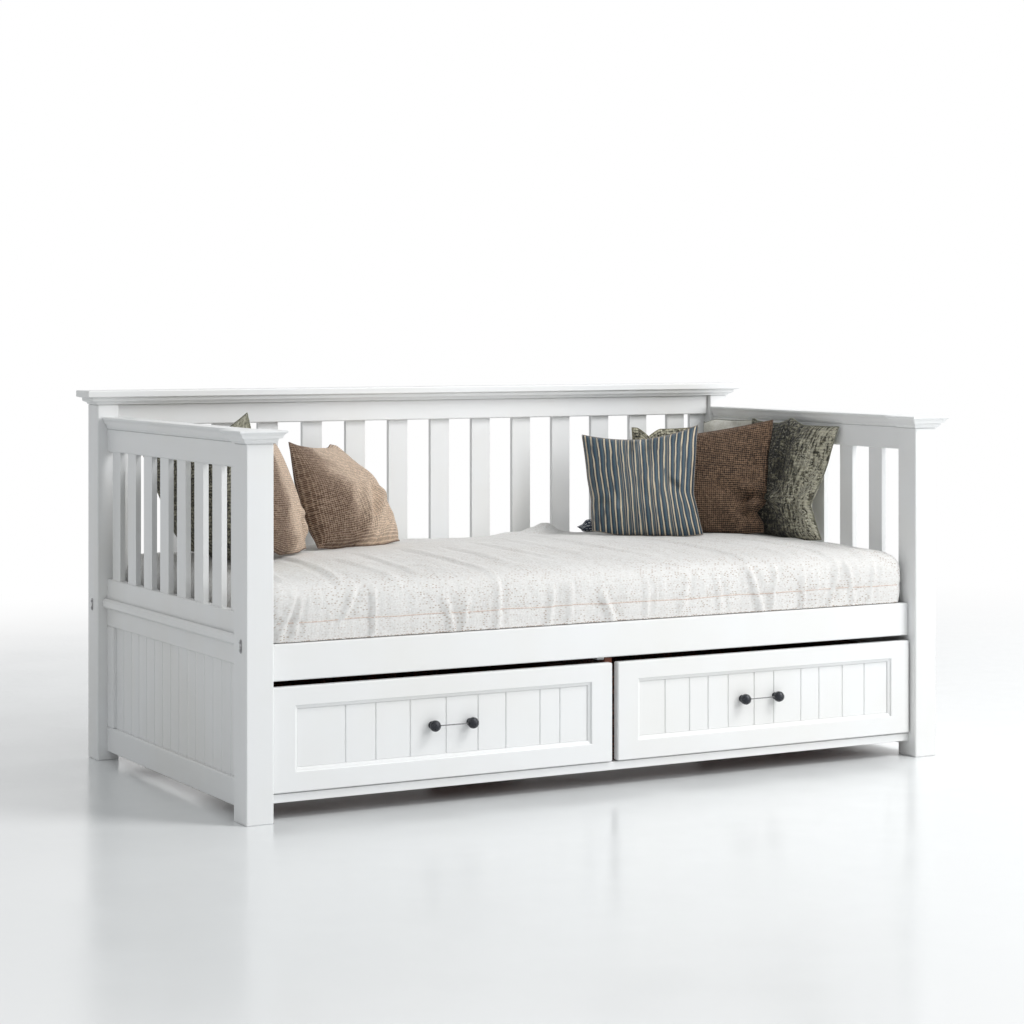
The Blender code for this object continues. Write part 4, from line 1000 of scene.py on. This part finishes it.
def cutCover(name, look):
    # two flat rectangles of cloth, sewn round their edge and still without filling; the points and faces are
    # listed here one by one, because an extrusion numbers them in another order each run
    cells = sewing["cells"]
    width, height = look["cut"]
    rows = max(8, round(cells * min(1.0, height / width)))
    bm = bmesh.new()
    bmesh.ops.create_grid(bm, x_segments=cells, y_segments=rows, size=0.5)
    bmesh.ops.scale(bm, vec=(width, height, 1), verts=bm.verts)
    wall = sewing["wall"] / 2
    spots = [(v.co.x, v.co.y, z) for z in (wall, -wall) for v in bm.verts]
    back = len(bm.verts)
    front = [[v.index for v in face.verts] for face in bm.faces]
    rim = [
        (loop.vert.index, loop.link_loop_next.vert.index)
        for face in bm.faces for loop in face.loops if loop.edge.is_boundary]
    bm.free()
    faces = front + [[i + back for i in reversed(face)] for face in front]
    faces += [(second, first, first + back, second + back) for first, second in rim]
    mesh = bpy.data.meshes.new(name)
    mesh.from_pydata(spots, [], faces)
    layer = mesh.uv_layers.new(name="cloth")
    for face in mesh.polygons:
        behind = 0.013 if face.normal.z < -0.5 else 0.0
        for corner in face.loop_indices:
            x, y, _ = spots[mesh.loops[corner].vertex_index]
            layer.data[corner].uv = (x + behind, y + behind)
    return newPiece(name, mesh, look["finish"])


def fillCover(cover, look):
    # the filling puffs the flat cover up, and draws its sides in between the corners
    drawIn = sewing["drawIn"]
    spots = points(cover)
    width, height = look["cut"]
    u, v = spots[:, 0] * 2 / width, spots[:, 1] * 2 / height
    side = np.sign(spots[:, 2])
    spots[:, 0] *= 1 - drawIn * (1 - v * v)
    spots[:, 1] *= 1 - drawIn * (1 - u * u)
    spots[:, 2] = side * (np.sqrt(np.clip((1 - u * u) * (1 - v * v), 0, 1)) * look["thick"][0] + 0.002)
    movePoints(cover, spots)


def settle(cover, look, flat):
    # the filled cover's four corners go where they rest, and its folds are pressed in
    width, height = look["cut"]
    spots = points(cover)
    u, v = flat[:, 0] * 2 / width, flat[:, 1] * 2 / height
    spots -= (spots.max(0) + spots.min(0)) / 2
    ends = (np.abs(u) > 0.999) & (np.abs(v) > 0.999)
    for axis, cut in enumerate(look["cut"]):
        spots[:, axis] *= cut / 2 / np.abs(spots[ends, axis]).mean()
    # the front swells more than the back, and both turn over roundly to the seam
    swell, wall = np.abs(spots[:, 2]), sewing["wall"] / 2
    rise = np.clip((swell - wall) / (swell.max() - wall), 0, 1) ** look["round"]
    dome = (np.clip(1 - np.abs(u) ** 2.4, 0, 1) * np.clip(1 - np.abs(v) ** 2.4, 0, 1)) ** 0.55
    rise = (rise * 0.35 + dome * 0.65) * (1 - look.get("lowSlung", 0.15) * smoothStep(v, -0.3, 1.0))
    front = spots[:, 2] > 0
    spots[:, 2] = np.where(front, rise * look["thick"][0] + 0.0015, -rise * look["thick"][1] - 0.0015)
    drawn = np.stack([spots[:, 0] * 2 / width, spots[:, 1] * 2 / height], 1)
    # how far the filling has drawn each side in, rescaled to what is wanted at the middle of that side
    flatDrawn = np.stack([u, v], 1)
    shift = drawn - flatDrawn
    for axis, sense, pull in zip((0, 0, 1, 1), (-1, 1, 1, -1), look["pull"]):
        other, half = (u, height / 2) if axis else (v, width / 2)
        edge = (flatDrawn[:, axis] * sense > 0.999) & (np.abs(other) < 0.15)
        found = np.abs(shift[edge, axis]).mean() * half
        sameHalf = flatDrawn[:, axis] * sense > 0
        shift[sameHalf, axis] *= pull / found
    drawn = flatDrawn + shift
    for at, span, lift in look.get("peaks", ()):
        reach = np.clip(1 - np.abs(u - at) / span, 0, 1) ** 1.3
        drawn[:, 1] += lift * 2 / height * reach * smoothStep(v, 0.55, 1.0)
    for side, at, span, pull in look.get("notches", ()):
        sense = 1 if side == "right" else -1
        reach = np.clip(1 - np.abs(v - at) / span, 0, 1) ** 1.4
        drawn[:, 0] -= sense * pull * 2 / width * reach * smoothStep(u * sense, 0.2, 1.0)
    for sense, rising, amount in zip((-1, 1, 1, -1), (1, 1, -1, -1), look.get("blunt", (0, 0, 0, 0))):
        share = smoothStep(u * sense, 0.35, 1.0) * smoothStep(v * rising, 0.35, 1.0)
        drawn -= np.stack([sense * amount * share, rising * amount * share], 1)
    depth = spots[:, 2].copy()
    depth *= 1 + 0.16 * lumps(u * 2.3 + look["thick"][0] * 180, v * 2.3, np.where(front, 1.5, 8.5))
    amount, fineAcross, fineUp = look["crinkle"]
    crinkle = lumps(u * width / 2 * fineAcross, v * height / 2 * fineUp, width * 60 + np.where(front, 0, 9))
    share = look.get("crinkleShare", np.clip(rise * 3, 0, 1))
    depth += np.where(front, 1, -1) * crinkle * amount * share
    inner = smoothStep(1 - np.maximum(np.abs(u), np.abs(v)), 0.0, 0.1)
    for start, end, span, lift in look.get("folds", ()):
        ends = ((x * width / 2, y * height / 2) for x, y in (start, end))
        ridge = foldHeight(u * width / 2, v * height / 2, *ends, span * 0.55)
        depth += front * ridge * lift * sewing["foldDepth"] * (0.25 + 0.75 * inner)
    topLeft, topRight, bottomRight, bottomLeft = (np.array(c) for c in look["corners"])
    s, t = (drawn[:, 0] + 1) / 2, (drawn[:, 1] + 1) / 2
    s, t = s[:, None], t[:, None]
    spot = (topLeft * (1 - s) + topRight * s) * t + (bottomLeft * (1 - s) + bottomRight * s) * (1 - t)
    rightwards = (topRight - topLeft) * t + (bottomRight - bottomLeft) * (1 - t)
    upwards = (topLeft - bottomLeft) * (1 - s) + (topRight - bottomRight) * s
    facing = np.cross(rightwards, upwards)
    facing /= np.linalg.norm(facing, axis=1)[:, None]
    movePoints(cover, spot + facing * depth[:, None])


def pushClear(cover, skins, gap):
    # points that went into a neighbour come back out of it, and the cloth round them follows;
    # it gives back how many were inside before the last move
    mesh = cover.data
    spots = points(cover)
    edges = np.array([e.vertices[:] for e in mesh.edges])
    counts = np.zeros(len(spots))
    np.add.at(counts, edges[:, 0], 1)
    np.add.at(counts, edges[:, 1], 1)
    for turn in range(5):
        move = np.zeros_like(spots)
        hits = 0
        for place, spot in enumerate(spots):
            for skin in skins:
                near, normal, _, _ = skin.find_nearest(Vector(spot), 0.06)
                if near is None:
                    continue
                inside = (Vector(spot) - near).dot(normal)
                if inside < gap:
                    step = normal * (gap - inside) if inside < 0 else normal * (gap - inside) * 0.5
                    if np.linalg.norm(move[place]) < step.length:
                        move[place] = step
                    hits += inside < 0
        if turn < 4:
            for _ in range(4):
                spread = np.zeros_like(move)
                np.add.at(spread, edges[:, 0], move[edges[:, 1]])
                np.add.at(spread, edges[:, 1], move[edges[:, 0]])
                spread /= counts[:, None]
                keep = np.linalg.norm(move, axis=1) >= np.linalg.norm(spread, axis=1)
                move = np.where(keep[:, None], move, spread * 0.8)
        spots = spots + move
        if not hits:
            break
    movePoints(cover, spots)
    return hits


def seamPath(cover, look, flat):
    # the sewn edge's middle line, round the cover
    width, height = look["cut"]
    spots = points(cover)
    edge = (np.abs(flat[:, 0]) > width / 2 - 1e-5) | (np.abs(flat[:, 1]) > height / 2 - 1e-5)
    near = {}
    for place in np.nonzero(edge)[0]:
        near.setdefault((round(flat[place, 0], 5), round(flat[place, 1], 5)), []).append(spots[place])
    ring = sorted(near, key=lambda p: math.atan2(p[1] * width / height, p[0]))
    return [sum(near[p]) / len(near[p]) for p in ring]


print("cutting and filling the cushions")
everyCushion = dict(cushions, navy_corner=navyCorner)
covers, flats = {}, {}
for name, look in everyCushion.items():
    covers[name] = cutCover(name.replace("cushion_", "cover_"), look)
    flats[name] = points(covers[name])
for name, look in everyCushion.items():
    fillCover(covers[name], look)
print("setting the cushions down")
sides = ("left", "right")
woodNames = [f"{board}_{side}" for board in ("arm_top_rail", "arm_mid_rail", "arm_cap") for side in sides]
woodNames += ["back_bed_rail", "back_top_rail"]
woodNames += [f"{post}_{side}" for post in ("post_front", "post_back") for side in sides]
woodSkins = [skinOf(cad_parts[name]) for name in woodNames]
settled = [skinOf(cover)]
for name in (
        "navy_corner", "cushion_moss", "cushion_pale", "cushion_striped", "cushion_brown_right",
        "cushion_green_right", "cushion_green_left", "cushion_brown_left", "cushion_brown_middle"):
    look, piece = everyCushion[name], covers[name]
    settle(piece, look, flats[name])
    left = pushClear(piece, woodSkins + settled, sewing["contactGap"])
    print(name, "points still inside a neighbour:", left)
    settled.append(skinOf(piece))
    piece.data.shade_smooth()
    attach(piece, "frame")
    if name in cushions:
        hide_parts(name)
    thread = seamFinish(piece.name + "_seamThread", look["seam"], tuple(c * 0.7 for c in look["seam"]))
    path = seamPath(piece, look, flats[name])
    seam = sewnTube(piece.name + "_seam", path, sewing["seamRadius"], thread)
    name in cushions
    soften = piece.modifiers.new("soften", "SUBSURF")
    soften.levels = soften.render_levels = 1


def makeFloor():
    finish = Finish("studioFloor")
    bm = bmesh.new()
    bmesh.ops.create_grid(bm, x_segments=1, y_segments=1, size=studio["floorHalf"])
    floor = newPiece("floor", newMesh("floor", bm), finish.material)
    x, y, _ = finish.parts(finish.place("Object", (studio["floorFadeWidth"], 1.0, 1.0)))
    fade = finish.step((x * x + y * y) ** 0.5, studio["floorFadeFrom"], studio["floorFadeTo"])
    white = finish.add("Emission", {"Color": (1, 1, 1), "Strength": 1.0})
    smear = finish.solidCloud(3.0, 4.0)
    gloss = finish.step(smear, 0.3, 0.7, 0.16, 0.24)
    finish.done(studio["floorColour"], gloss, None, {"Specular IOR Level": 0.5})
    plain = Wire(finish.tree, finish.shader.outputs[0])
    mix = finish.add("MixShader", {0: fade * finish.seen(), 1: plain, 2: white})
    finish.surface(mix, "Material Output")


def makeSurround():
    # the camera sees plain white, and the objects are lit by a dimmer sky
    scene.world = bpy.data.worlds.new("studioSky")
    sky = Shading(scene.world)
    shown = sky.add("Background", {"Color": (1, 1, 1), "Strength": 1.0})
    glow = sky.add("Background", {"Color": studio["skyColour"], "Strength": studio["skyGlow"]})
    mix = sky.add("MixShader", {0: sky.seen().apply("MINIMUM", 1.0), 1: glow, 2: shown})
    sky.surface(mix, "World Output")


def addSoftbox(name, spot, aim, size, power):
    lamp = bpy.data.lights.new(name, "AREA")
    lamp.shape = "SQUARE"
    lamp.size = size
    lamp.energy = power
    box = bpy.data.objects.new(name, lamp)
    box.location = spot
    box.rotation_euler = (Vector(aim) - Vector(spot)).to_track_quat("-Z", "Y").to_euler()
    scene.collection.objects.link(box)


def addCamera():
    camera = bpy.data.objects.new("camera", bpy.data.cameras.new("camera"))
    camera.location = studio["cameraSpot"]
    camera.rotation_euler = (math.radians(90), 0, math.radians(studio["cameraTurn"]))
    camera.data.sensor_width = studio["sensorWidth"]
    camera.data.lens = studio["lens"]
    camera.data.shift_y = studio["shiftY"]
    camera.data.clip_end = studio["sight"]
    scene.collection.objects.link(camera)
    scene.camera = camera


print("floor, light and camera")
makeFloor()
makeSurround()
for name, (spot, size, power) in studio["softboxes"].items():
    addSoftbox(name, spot, studio["lampAim"], size, power)
addCamera()
scene.view_settings.view_transform = "Standard"
